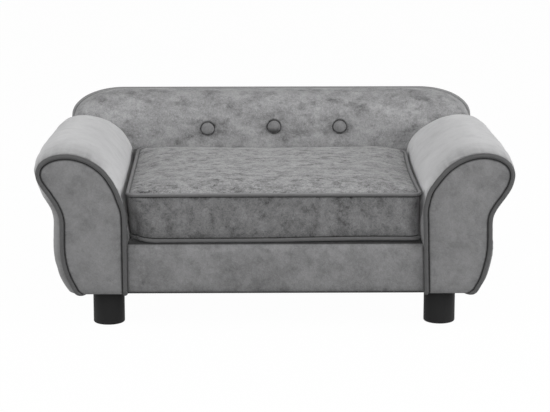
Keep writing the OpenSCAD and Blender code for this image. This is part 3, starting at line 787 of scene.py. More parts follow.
# The backrest's cord is a lit copy of the piping cloth, its lighter grey painted light; the cushion's
# lower cord is a shaded copy of its top cord, its darker grey painted shade.
ARM_PIPING = PipingCloth("arm_piping_cloth", Slot.PIPING, grey(88))
BACK_PIPING = PipingCloth("back_piping_cloth", Slot.PIPING, grey(146))
CUSHION_PIPING = PipingCloth("cushion_piping_cloth", Slot.PIPING, grey(134))
LOW_PIPING = PipingCloth("low_piping_cloth", Slot.PIPING, grey(94))
THREAD = PipingCloth("dark_thread", Slot.PIPING, grey(58))
LINING = Woven("black_lining", Slot.LINING, grey(34))
DECK_CLOTH = Woven("deck_cloth_weave", Slot.LINING, grey(70), pitch=0.0012)
TAPE = Woven("zip_tape_weave", Slot.PIPING, grey(88), pitch=0.0007)
TIMBER = Timber("frame_timber", Slot.BOARD)
FOAM = Foam("cream_foam", Slot.FOAM)
FOOT_PLASTIC = Moulded("moulded_foot_plastic", Slot.FOOT_PLASTIC, grey(36), 0.5)
BLACK_PLASTIC = Moulded("black_nylon", Slot.BLACK_PLASTIC, grey(30), 0.36)
STEEL = Metal("plated_steel", Slot.STEEL)


# Cloth and shapes made by rule


@dataclass
class Filling:
    """One sewn form that swells under its filling, held along its seams.

    Attributes:
        thing: the form.
        held: for each point, whether a seam, board or button holds it.
        cap: the furthest that a point may move.
        pressure: how hard the filling presses.
        spare: the share of spare cloth, which gathers into small folds.
    """

    thing: bpy.types.Object
    held: Points
    cap: float
    pressure: float = 4.0
    spare: float = 0.0


@dataclass
class ClothShop:
    """Swells every padded form in one run of the cloth simulation."""

    frames: int = 20
    quality: int = 6
    mass: float = 0.25
    stretch_stiffness: float = 18.0
    bend_stiffness: float = 0.6
    damping: float = 3.0
    work: list[Filling] = field(default_factory=list)

    def take(self, job: Filling) -> bpy.types.Object:
        """Keeps a form for the run and gives it back."""
        self.work.append(job)
        return job.thing

    def prepare(self, job: Filling) -> None:
        """Sets up the simulation on one form."""
        group = job.thing.vertex_groups.new(name="held")
        group.add([int(i) for i in np.flatnonzero(job.held)], 1.0, "REPLACE")
        cloth = job.thing.modifiers.new("Filling", "CLOTH")
        cloth.point_cache.frame_start, cloth.point_cache.frame_end = 1, self.frames
        rule = cloth.settings
        rule.quality, rule.mass = self.quality, self.mass
        rule.effector_weights.gravity = 0
        rule.vertex_group_mass = "held"
        rule.use_pressure, rule.uniform_pressure_force = True, job.pressure
        rule.tension_stiffness = rule.compression_stiffness = self.stretch_stiffness
        rule.bending_stiffness = self.bend_stiffness
        rule.air_damping = self.damping
        rule.shrink_min = -job.spare
        cloth.collision_settings.use_collision = False

    def run(self) -> None:
        """Simulates all the forms, caps each point's move and keeps the plain meshes."""
        scene = bpy.context.scene
        for job in self.work:
            self.prepare(job)
        for step in range(1, self.frames + 1):
            scene.frame_set(step)
        view = bpy.context.evaluated_depsgraph_get()
        settled = []
        for job in self.work:
            swollen = job.thing.evaluated_get(view)
            settled.append(vectors(swollen.to_mesh().vertices, "co"))
            swollen.to_mesh_clear()
        for job, points in zip(self.work, settled):
            job.thing.modifiers.clear()
            rest = coordinates(job.thing)
            move = points - rest
            far = np.linalg.norm(move, axis=1, keepdims=True)
            keep = job.cap * np.tanh(far / job.cap) / np.maximum(far, NO_LENGTH)
            set_coordinates(job.thing, rest + move * keep)
            LOG.info("%s swelled by up to %.1f mm", job.thing.name, 1000 * float((far * keep).max()))
        scene.frame_set(1)


class ShapeTree:
    """A Geometry Nodes tree with named inputs, run on a mesh and turned into a plain one."""

    def __init__(self, name: str, **sizes: float) -> None:
        """Starts the tree.

        Args:
            name: the tree's name.
            sizes: its inputs and their first values.
        """
        self.tree = bpy.data.node_groups.new(name, "GeometryNodeTree")
        self.places: dict[str, str] = {}
        self.socket("Geometry", "NodeSocketGeometry")
        for label, value in sizes.items():
            kind = "NodeSocketInt" if isinstance(value, int) else "NodeSocketFloat"
            self.socket(label, kind).default_value = value
        self.socket("Material", "NodeSocketMaterial")
        self.tree.interface.new_socket(
            "Geometry", in_out="OUTPUT", socket_type="NodeSocketGeometry"
        )
        self.graph = Graph(self.tree)
        self.source = self.graph.add("NodeGroupInput")

    def socket(self, label: str, kind: str) -> bpy.types.NodeTreeInterfaceSocket:
        """Adds an input of the given kind."""
        made = self.tree.interface.new_socket(label, in_out="INPUT", socket_type=kind)
        self.places[label] = made.identifier
        return made

    def wire(self, label: str) -> Wire:
        """One of the tree's inputs."""
        return self.source.out(label)

    def line(self) -> Wire:
        """The path that the tree runs on, as a curve."""
        return self.graph.add("GeometryNodeMeshToCurve", {}, {"Mesh": self.wire("Geometry")})

    def end(self, geometry: Wire, smooth: bool = True) -> None:
        """Realizes the instances, sets the material and ends the tree."""
        whole = self.graph.add("GeometryNodeRealizeInstances", {}, {"Geometry": geometry})
        shaded = self.graph.add(
            "GeometryNodeSetShadeSmooth", {}, {"Geometry": whole, "Shade Smooth": smooth}
        )
        dressed = self.graph.add(
            "GeometryNodeSetMaterial", {}, {"Geometry": shaded, "Material": self.wire("Material")}
        )
        self.graph.add("NodeGroupOutput", {}, {"Geometry": dressed})

    def run(
        self, name: str, path: Points, closed: bool, finish: Finish, **sizes: float
    ) -> bpy.types.Object:
        """Runs the tree on a path.

        Args:
            name: the piece's name.
            path: the points that the piece follows.
            closed: whether the path closes on itself.
            finish: the piece's finish.
            sizes: the tree's named inputs.

        Returns:
            The finished mesh object.
        """
        count = len(path)
        edges = [(i, i + 1) for i in range(count - 1)] + ([(count - 1, 0)] if closed else [])
        mesh = bpy.data.meshes.new(name + "_path")
        mesh.from_pydata([tuple(map(float, p)) for p in path], edges, [])
        start = linked(name + "_path", mesh)
        nodes = start.modifiers.new("Shape", "NODES")
        nodes.node_group = self.tree
        for label, value in sizes.items():
            nodes[self.places[label]] = value
        nodes[self.places["Material"]] = finish.material()
        view = bpy.context.evaluated_depsgraph_get()
        made = bpy.data.meshes.new_from_object(start.evaluated_get(view), depsgraph=view)
        made.name = name
        bpy.data.objects.remove(start)
        return linked(name, made)


def cord_tree() -> ShapeTree:
    """A covered cord along a path: an even radius with small gathers in its cover."""
    shape = ShapeTree("covered_cord", Radius=0.004, Step=0.0025, Gather=0.06, Gather_Length=0.007)
    graph = shape.graph
    even = graph.add("GeometryNodeResampleCurve", {"mode": "LENGTH"}, {
        "Curve": shape.line(), "Length": shape.wire("Step"),
    })
    place = graph.add("GeometryNodeInputPosition")
    waves = graph.add("ShaderNodeTexNoise", {}, {"Vector": place, "Detail": 1.0})
    graph.feed(waves.node.inputs["Scale"], shape.wire("Gather_Length").math("POWER", -1.0))
    radius = shape.wire("Radius") * ((waves - 0.5) * shape.wire("Gather") * 2 + 1)
    section = graph.add("GeometryNodeCurvePrimitiveCircle", {}, {"Resolution": 12, "Radius": 1.0})
    tube = graph.add("GeometryNodeCurveToMesh", {}, {
        "Curve": even, "Profile Curve": section, "Scale": radius, "Fill Caps": True,
    })
    shape.end(tube)
    return shape


class RowShape(Enum):
    """What a row repeats along its path."""

    STITCH = "stitch"
    BLOCK = "block"


def row_tree(kind: RowShape) -> ShapeTree:
    """One small shape repeated along a path, turned with it."""
    shape = ShapeTree(
        f"row_of_{kind.value}", Pitch=0.004, Length=0.003, Width=0.0006, Height=0.0005
    )
    graph = shape.graph
    spots = graph.add("GeometryNodeCurveToPoints", {"mode": "LENGTH"}, {
        "Curve": shape.line(), "Length": shape.wire("Pitch"),
    })
    if kind is RowShape.STITCH:
        one = graph.add("GeometryNodeMeshUVSphere", {}, {"Segments": 6, "Rings": 5, "Radius": 0.5})
    else:
        one = graph.add("GeometryNodeMeshCube", {}, {"Size": (1, 1, 1)})
    size = graph.add("ShaderNodeCombineXYZ", {}, {
        "X": shape.wire("Height"), "Y": shape.wire("Width"), "Z": shape.wire("Length"),
    })
    row = graph.add("GeometryNodeInstanceOnPoints", {}, {
        "Points": spots, "Instance": one, "Rotation": spots.out("Rotation"), "Scale": size,
    })
    shape.end(row, kind is RowShape.STITCH)
    return shape


def drawn_panel_tree() -> ShapeTree:
    """Cloth drawn over a profile, straight along X, which swells between its held ends."""
    shape = ShapeTree("drawn_panel", Width=0.44, Bulge=0.002, Across=120, Along=40)
    graph = shape.graph
    grid = graph.add("GeometryNodeMeshGrid", {}, {
        "Size X": 1.0, "Size Y": 1.0,
        "Vertices X": shape.wire("Across"), "Vertices Y": shape.wire("Along"),
    })
    at = graph.add("GeometryNodeInputPosition")
    place = graph.add("ShaderNodeSeparateXYZ", {}, {"Vector": at})
    down = place.out("Y") + 0.5
    drawn = graph.add(
        "GeometryNodeSampleCurve", {"mode": "FACTOR"}, {"Curves": shape.line(), "Factor": down}
    )
    section = graph.add("ShaderNodeSeparateXYZ", {}, {"Vector": drawn.out("Position")})
    across = place * 2
    held = 1 - across.math("POWER", 8.0)
    swell = held * (down * math.pi).math("SINE") * shape.wire("Bulge")
    spot = graph.add("ShaderNodeCombineXYZ", {}, {
        "X": place * shape.wire("Width"), "Y": section.out("Y") - swell, "Z": section.out("Z"),
    })
    moved = graph.add("GeometryNodeSetPosition", {}, {"Geometry": grid, "Position": spot})
    shape.end(moved)
    return shape


@dataclass
class Workshop:
    """The shape trees and the cloth run that the sub-assemblies share."""

    cord: ShapeTree
    stitches: ShapeTree
    blocks: ShapeTree
    panel: ShapeTree
    cloth: ClothShop


def hand_over(thing: bpy.types.Object, body: str, finish: Finish, *nodes: str) -> None:
    """Gives a piece its finish and its body, and hides the CAD nodes that it stands for.

    Args:
        thing: the piece, which keeps the finishes that it wears already.
        body: the body that it rides on.
        finish: its finish.
        nodes: the nodes that it replaces.
    """
    if not thing.data.materials:
        finish.wear(thing)
    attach(thing, body)
    if nodes:
        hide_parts(*nodes)
    LOG.info("%s rides on %s", thing.name, body)


# The sofa


class Side(Enum):
    """The two sides of the sofa, as seen from the front."""

    LEFT = -1
    RIGHT = 1

    @property
    def word(self) -> str:
        """The side's name as piece names use it."""
        return self.name.lower()

    def turned(self, points: Points) -> Points:
        """Points of the right side, brought to this one."""
        return points * [self.value, 1, 1]


def standing(flat: Points, y: float | Points) -> Points:
    """Points across and up, stood in the plane at y."""
    return np.stack([flat[..., 0], np.broadcast_to(y, flat.shape[:-1]), flat[..., 1]], -1)


def lying(flat: Points, z: float | Points) -> Points:
    """Points across and back, laid in the plane at z."""
    return np.stack([flat[..., 0], flat[..., 1], np.broadcast_to(z, flat.shape[:-1])], -1)


def ring(edges: Sequence[Points]) -> Points:
    """A closed outline from its four sides, in order round it."""
    return np.vstack([edge[:-1] for edge in edges])


def filled(edges: Sequence[Points]) -> Points:
    """The flat surface inside an outline of four sides, in order round it."""
    bottom, right, top, left = edges
    return patch(bottom, right, top[::-1], left[::-1])


def widths(surface: Points, outline: Points) -> Points:
    """How far each point of a flat surface is from an outline."""
    return edge_distance(surface.reshape(-1, 2), outline).reshape(surface.shape[:2])


def slab(name: str, edges: Sequence[Points], depths: Sequence[float], side: Side) -> bpy.types.Object:
    """A flat upright board or panel.

    Args:
        name: the piece's name.
        edges: the right arm's outline, as its four sides.
        depths: where its front and its rear lie.
        side: the side that it is made for.

    Returns:
        The mesh object.
    """
    walls = np.array([standing(ring(edges), y) for y in depths])
    ends = [standing(filled(edges), y) for y in depths]
    return sewn(name, [side.turned(surface) for surface in (walls, *ends)], [True])


@dataclass
class Arms:
    """The two rolled arms: a swelling cover, a piped facing and a covered cord on each.

    The tables that lean the outline hold a height and how far the cover stands out there. The
    columns of leans are the right seam, the right cover, the left seam and the left cover.
    """

    shop: Workshop
    inner: float = 0.223
    width: float = 0.137
    base: float = 0.054
    rise: float = 0.2165
    swell: float = 0.009
    cord_radius: float = 0.0034
    cord_y: float = -0.2205
    inner_tail: Table = (
        (-0.0155, 0.0125, -0.0020), (-0.0120, 0.0062, -0.0026), (-0.0076, 0.0022, -0.0030),
        (-0.0034, 0.0005, -0.0022),
    )
    outer_tail: Table = ((0, 0.003, -0.0030), (0, 0.009, -0.0042), (0, 0.017, -0.0040))
    # Painted shade on the cord's flanks, all but its front face.
    cord_flank: Ramp = Ramp(-0.80, 0.65)
    cover_front: float = -0.2174
    cover_rear: float = 0.1458
    panel_rear: float = 0.1478
    panel_front_gap: float = 0.0002
    panel_in: float = 0.0003
    board_front: float = 0.131
    board_in: float = 0.0056
    facing_layers: Table = (
        (-0.2135, 0.0036), (-0.2168, 0.0044), (-0.2188, 0.0060), (-0.2210, 0.0062),
    )
    facing_low: float = 0.0004
    facing_edge: tuple[float, float] = (-0.2217, 0.0069)
    facing_crown: float = 0.0022
    facing_round: float = 0.007
    facing_free: float = -0.2213
    across: int = 42
    up: int = 48
    smooth: int = 8
    outer_corner: int = 10
    inner_corner: int = 18
    scroll: Table = (
        (0.598, 0.000), (0.675, 0.106), (0.726, 0.210), (0.749, 0.314), (0.752, 0.430),
        (0.759, 0.536), (0.800, 0.624), (0.872, 0.697), (0.942, 0.758), (0.988, 0.813),
        (0.998, 0.868), (0.961, 0.924), (0.876, 0.968), (0.766, 0.993), (0.635, 1.000),
        (0.496, 0.984), (0.358, 0.945), (0.219, 0.873), (0.110, 0.769), (0.040, 0.656),
        (0.007, 0.582), (0.000, 0.490),
    )
    swells: Numbers = (0.8, 1, 1, 1, 0.85, 0.75, 0.65, 0.45, 0.25, 0.08) + (0,) * 12
    swell_run: Table = ((0, 0), (0.25, 0.5), (0.6, 0.88), (1, 1))
    swell_depth: float = 0.0195
    front_steps: Numbers = (
        0, 0.0006, 0.0016, 0.003, 0.0052, 0.008, 0.0115, 0.0155, 0.0195,
    )
    front_turn: Table = ((0, 0.0024), (0.0006, 0.0013), (0.0016, 0.0004), (0.003, 0))
    even_start: float = 0.0235
    even_rows: int = 84
    puffs: Numbers = (0,) * 4 + (0.2, 0.6) + (1,) * 9 + (0.9, 0.6, 0.2, 0, 0, 0, 0)
    puff_run: Table = (
        (0, 0), (0.03, 0.0005), (0.10, 0.0016), (0.22, 0.0030), (0.42, 0.0034), (0.65, 0.0008),
        (0.85, -0.0028), (0.95, -0.0052), (1, -0.0070),
    )
    left_puff: float = 0.0016
    left_puff_high: Ramp = Ramp(0.19, 0.04)
    left_puff_out: Ramp = Ramp(0.02, 0.05)
    leans: Table = (
        (0.054, 0.0015, -0.0020, -0.0030, 0.0004), (0.064, 0.0025, -0.0030, -0.0026, 0.0010),
        (0.076, 0.0034, -0.0046, -0.0014, 0.0015), (0.0945, 0.0023, -0.0050, -0.0014, 0.0008),
        (0.1146, 0.0027, -0.0040, -0.0016, 0), (0.1378, 0.0033, -0.0034, -0.0018, 0),
        (0.161, 0.0025, -0.0032, -0.0025, 0), (0.175, 0.0020, -0.0026, -0.0030, 0.0006),
        (0.187, 0.0046, 0.0006, -0.0020, 0.0026), (0.1996, 0.0072, 0.0044, -0.0018, 0.0040),
        (0.215, 0.0062, 0.0048, -0.0028, 0.0024), (0.2305, 0.0018, 0.0012, -0.0020, 0.0004),
        (0.246, 0.0004, 0.0002, -0.0014, 0), (0.260, 0, 0, 0, 0),
    )
    lean_soft: float = 0.006
    lean_behind: Ramp = Ramp(0, 0.016)
    lean_out: Ramp = Ramp(0.30, 0.35)
    right_inner: Table = (
        (0.150, 0), (0.170, -0.0006), (0.190, -0.0035), (0.2053, -0.0062), (0.216, -0.0072),
        (0.228, -0.0064), (0.242, -0.0036), (0.256, -0.0012), (0.268, 0),
    )
    right_inner_seam: Table = (
        (0.054, 0.0043), (0.095, 0.0043), (0.120, 0.0029), (0.150, 0.0019), (0.175, 0.0006),
        (0.190, -0.0018), (0.203, -0.0036), (0.213, -0.0038), (0.224, -0.0020), (0.236, -0.0005),
        (0.250, 0),
    )
    right_inner_out: Ramp = Ramp(0.12, 0.30)
    right_inner_behind: Ramp = Ramp(0.004, 0.035)
    left_recess: Table = (
        (0.138, 0), (0.152, 0.0022), (0.194, 0.0026), (0.2035, 0.0014), (0.2080, 0),
    )
    left_recess_out: Ramp = Ramp(0.06, 0.20)
    left_recess_behind: Ramp = Ramp(0.002, 0.012)
    above_base: Ramp = Ramp(0.07, 0.05)
    held_front: float = 0.0004
    held_rear: float = 0.0005
    fold_size: float = 0.030
    fold_height: float = 0.0006
    fold_behind: Ramp = Ramp(0, 0.02)
    tuck_pitch: float = 0.0125
    tuck_wander: float = 0.047
    tuck_change: float = 0.083
    tuck_start: Ramp = Ramp(0, 0.004)
    tuck_reach: float = 0.010
    tuck_height: float = 0.0011
    # The next five settings paint shade over the roll's front edge; the crease settings after them paint
    # a dark line of shade down the left arm's inner front corner, in the crevice beside the cushion.
    front_shade: float = 0.54
    front_shade_reach: float = 0.032
    front_shade_high: Ramp = Ramp(0.20, 0.03)
    right_gather_out: Ramp = Ramp(0.006, 0.03)
    left_gather_out: Ramp = Ramp(0.030, 0.03)
    crease: float = 0.9
    crease_out: Ramp = Ramp(0.002, 0.006)
    crease_behind: Ramp = Ramp(-0.2085, 0.012)
    crease_foot: Ramp = Ramp(0.114, 0.008)
    crease_head: Ramp = Ramp(0.200, 0.012)

    def outline(self, swell: float, drawn_in: float, puff: float = 0) -> Points:
        """The arm's outline across and up, from its lower inner corner.

        Args:
            swell: the share of the lower side's swell.
            drawn_in: how far the whole outline is moved inwards.
            puff: how far the roll's outline is moved outwards.

        Returns:
            The closed outline's points.
        """
        scroll = [
            (self.inner + u * self.width + swell * self.swell * s, self.base + v * self.rise, w)
            for (u, v), s, w in zip(self.scroll, self.swells, self.puffs)
        ]
        whole = np.vstack([[(self.inner, self.base, 0)], spline(scroll, self.smooth)])
        return inset(whole[:, :2], drawn_in - puff * whole[:, 2:])

    def edges(
        self, swell: float, drawn_in: float, puff: float = 0, low: float | None = None
    ) -> list[Points]:
        """The outline's underside, outer side, top and inner side, evenly divided.

        Args:
            swell: the share of the lower side's swell.
            drawn_in: how far the whole outline is moved inwards.
            puff: how far the roll's outline is moved outwards.
            low: how far the underside alone is moved inwards, if not as far as the rest.

        Returns:
            The four edges, in order round the outline.
        """
        whole = self.outline(swell, drawn_in, puff)
        if low is not None:
            lean = (whole[2] - whole[1]) / (whole[2, 1] - whole[1, 1])
            whole[1] += lean * (self.base + low - whole[1, 1])
            whole[0, 1] = self.base + low
        start, curve = whole[:1], whole[1:]
        a, b = self.outer_corner * self.smooth, self.inner_corner * self.smooth
        return [
            evenly(np.vstack([start, curve[:1]]), self.across),
            evenly(curve[:a + 1], self.up),
            evenly(curve[a:b + 1], self.across),
            evenly(np.vstack([curve[b:], start]), self.up),
        ]

    def puff(self, y: float) -> float:
        """How far the roll stands out from its plain outline at a depth."""
        return read_off(self.puff_run, (y - self.cover_front) / (self.cover_rear - self.cover_front))

    def lean(self, at: Points, side: Side, cover: bool = True) -> Points:
        """Points of an arm moved sideways to that side's own outline.

        Args:
            at: the points, already on that side.
            side: the side they are on.
            cover: whether they leave the seam's line for the cover's own behind it.

        Returns:
            The moved points.
        """
        out, z = (abs(at[:, 0]) - self.inner) / self.width, at[:, 2]
        behind = at[:, 1] - self.cover_front
        column = 1 if side is Side.RIGHT else 3
        seam, full = (read_off(self.leans, z, c, self.lean_soft) for c in (column, column + 1))
        moved = at.copy()
        moved[:, 0] += side.value * self.lean_out(out) * (
            seam + (full - seam) * self.lean_behind(behind) * cover
        )
        if side is Side.RIGHT:
            near, back = 1 - self.right_inner_out(out), self.right_inner_behind(behind) * cover
            moved[:, 0] += near * back * read_off(self.right_inner, z)
            seam_shift = read_off(self.right_inner_seam, z, soft=self.lean_soft)
            moved[:, 0] += near * (1 - back) * seam_shift
        elif cover:
            near, back = 1 - self.left_recess_out(out), self.left_recess_behind(behind)
            moved[:, 0] -= near * back * read_off(self.left_recess, z)
        return moved

    def shape(self) -> None:
        """Sews the right arm's cover and facing and leaves them to be filled."""
        turned = read_off(self.front_turn, np.array(self.front_steps))
        rows = [
            standing(ring(self.edges(
                read_off(self.swell_run, s / self.swell_depth), d, self.puff(self.cover_front + s)
            )), self.cover_front + s)
            for s, d in zip(self.front_steps, turned)
        ]
        even = np.linspace(self.cover_front + self.even_start, self.cover_rear, self.even_rows)
        rows += [standing(ring(self.edges(1, 0, self.puff(y))), y) for y in even]
        front = standing(filled(self.edges(0, turned[0])), self.cover_front)
        rear = standing(filled(self.edges(1, 0, self.puff(self.cover_rear))), self.cover_rear)
        roll = sewn("right_arm_roll", [np.array(rows), front, rear], [True])
        at = coordinates(roll)
        held = (
            (at[:, 1] < self.cover_front + self.held_front)
            | (at[:, 1] > self.cover_rear - self.held_rear)
            | (at[:, 2] < self.base + self.held_front)
        )
        self.roll = self.shop.cloth.take(Filling(roll, held, cap=0.0026, pressure=3.5, spare=0.006))
        self.shape_facing()

    def shape_facing(self) -> None:
        """Sews the right arm's facing, crowned inside its cord."""
        low = self.facing_low
        walls = np.array([
            standing(ring(self.edges(0, d, 0, low)), y) for y, d in self.facing_layers
        ])
        edge_y, edge_in = self.facing_edge
        edges = self.edges(0, edge_in, 0, low)
        face = filled(edges)
        away = widths(face, ring(edges))
        crown = edge_y - self.facing_crown * (1 - np.exp(-away / self.facing_round))
        rim = np.array([walls[-1], standing(ring(edges), edge_y)])
        back_y, back_in = self.facing_layers[0]
        back = standing(filled(self.edges(0, back_in, 0, low)), back_y)
        facing = sewn("right_arm_facing_pad", [walls, rim, standing(face, crown), back], [True, True])
        held = coordinates(facing)[:, 1] > self.facing_free
        self.facing = self.shop.cloth.take(
            Filling(facing, held, cap=0.0012, pressure=2.5, spare=0.004)
        )

    def cord_path(self) -> Points:
        """The line of the covered cord, with its two tails turned in under the arm."""
        whole = self.outline(0, self.cord_radius)
        line = standing(np.vstack([whole[1:], whole[:1]]), self.cord_y)
        return np.vstack([
            line[0] + np.array(self.inner_tail), line, line[-1] + np.array(self.outer_tail)
        ])

    def dress(self) -> None:
        """Makes both arms from the filled forms, with their cords and rear panels."""
        at = coordinates(self.roll)
        fold = ripple(at * [0.30, 1, 0.30], self.fold_size, 2.4) * (0.4 + ripple(at, 0.12, 0.8))
        free = self.fold_behind(at[:, 1] - self.cover_front) * self.above_base(at[:, 2])
        push_out(self.roll, fold * free * self.fold_height)
        depths = (self.cover_rear + self.panel_front_gap, self.panel_rear)
        panel = slab("right_arm_rear_cloth", self.panel_edges(), depths, Side.RIGHT)
        rights = (self.roll, self.facing, panel)
        lefts = tuple(mirrored(thing) for thing in rights)
        for side, things in ((Side.LEFT, lefts), (Side.RIGHT, rights)):
            self.dress_side(side, *things)

    def dress_side(
        self, side: Side, roll: bpy.types.Object, facing: bpy.types.Object, panel: bpy.types.Object
    ) -> None:
        """Brings one arm's pieces to their side's own outline and finishes them.

        Args:
            side: the side.
            roll: its filled cover.
            facing: its filled facing.
            panel: the cloth over its rear end.
        """
        word = side.word
        line = self.lean(side.turned(self.cord_path()), side, False)
        self.rear_board(side)
        pieces = (
            (roll, ARM_PLUSH, ("arm_cover", "arm_foam")), (facing, FACING_PLUSH, ("arm_facing",)),
            (panel, ARM_PLUSH, ("arm_rear_panel",)),
        )
        for thing, finish, nodes in pieces:
            if thing is roll and side is Side.LEFT:
                self.fill_out(thing)
            set_coordinates(thing, self.lean(coordinates(thing), side, thing is not facing))
            # The nearness to the cord sets painted shade beside it; on the roll, painted shade over its
            # front edge and in the left crevice is added.
            near, run = beside_seam(coordinates(thing), line, self.cord_radius)
            if thing is roll:
                self.gather(thing, run)
                near = np.maximum(near, self.roll_shade_marks(thing, side))
            mark_seams(thing, near, run)
            rounded(thing)
            hand_over(thing, "sofa", finish, *(f"{word}_{node}" for node in nodes))
            if thing is panel:
                self.panel_area()
        cord = self.shop.cord.run(
            f"{word}_arm_piping_cord", line, False, ARM_PIPING,
            Radius=self.cord_radius, Step=0.002, Gather=0.07, Gather_Length=0.006,
        )
        # Painted shade on the cord's flanks.
        mark(cord, Mark.FLANK, self.cord_flank(vertex_normals(cord)[:, 1]))
        hand_over(cord, "sofa", ARM_PIPING, f"{word}_arm_piping")

    def roll_shade_marks(self, roll: bpy.types.Object, side: Side) -> Points:
        """Painted shade on the cover away from its seam, which also strengthens its puckers there: a
        soft darkening over its front edge and, on the left, a dark line in the crevice beside the
        cushion.

        Args:
            roll: the cover, in its place.
            side: the side it is on.

        Returns:
            A number from 0 to 1 for each of its points.
        """
        at = coordinates(roll)
        out, behind, z = abs(at[:, 0]) - self.inner, at[:, 1] - self.cover_front, at[:, 2]
        # Painted shade over the roll's front edge, where it rounds down to the seam.
        turned = np.exp(-((behind / self.front_shade_reach) ** 2))
        start = self.right_gather_out if side is Side.RIGHT else self.left_gather_out
        tight = self.front_shade * turned * self.front_shade_high(z) * start(out)
        if side is Side.RIGHT:
            return tight
        # Painted shade: a dark line down the left arm's inner front corner, in the crevice beside the
        # cushion.
        corner = (1 - self.crease_out(out)) * (1 - self.crease_behind(at[:, 1]))
        height = self.crease_foot(z) * (1 - self.crease_head(z))
        return np.maximum(tight, self.crease * corner * height)

    def gather(self, roll: bpy.types.Object, run: Points) -> None:
        """Gathers the roll's cover into small tucks beside its front seam."""
        at = coordinates(roll)
        depth = at[:, 1] - self.cover_front
        turn = run * 2 * math.pi
        waves = np.sin(turn / self.tuck_pitch + 2.2 * np.sin(turn / self.tuck_wander))
        waves *= 0.6 + 0.4 * np.sin(turn / self.tuck_change)
        reach = self.tuck_start(depth) * np.exp(-np.clip(depth, 0, 1) / self.tuck_reach)
        push_out(roll, waves * reach * self.above_base(at[:, 2]) * self.tuck_height)

    def fill_out(self, roll: bpy.types.Object) -> None:
        """Fills the left arm's roll a little further than the right one's."""
        at = coordinates(roll)
        along = (at[:, 1] - self.cover_front) / (self.cover_rear - self.cover_front)
        full = np.sin(math.pi * np.clip(along * 1.25, 0, 1)) * self.left_puff_high(at[:, 2])
        push_out(roll, full * self.left_puff_out(-at[:, 0] - self.inner) * self.left_puff)

    def rear_board(self, side: Side) -> None:
        """The board that carries the roll's rear end, inside the drawn-in cover."""
        edges = self.edges(0, self.board_in, self.puff(self.cover_rear))
        depths = (self.board_front, self.cover_rear)
        board = slab(f"{side.word}_arm_rear_panel_board", edges, depths, side)
        set_coordinates(board, self.lean(coordinates(board), side))
        board.data.shade_flat()
        hand_over(board, "sofa", TIMBER, f"{side.word}_arm_rear_board")

    def panel_edges(self) -> list[Points]:
        """The outline of the cloth over an arm's rear end."""
        return self.edges(1, self.panel_in, self.puff(self.cover_rear))

    def panel_area(self) -> float:
        """The flat area of that cloth."""
        x, z = ring(self.panel_edges()).T
        return float(abs(x @ np.roll(z, -1) - z @ np.roll(x, -1)) / 2)


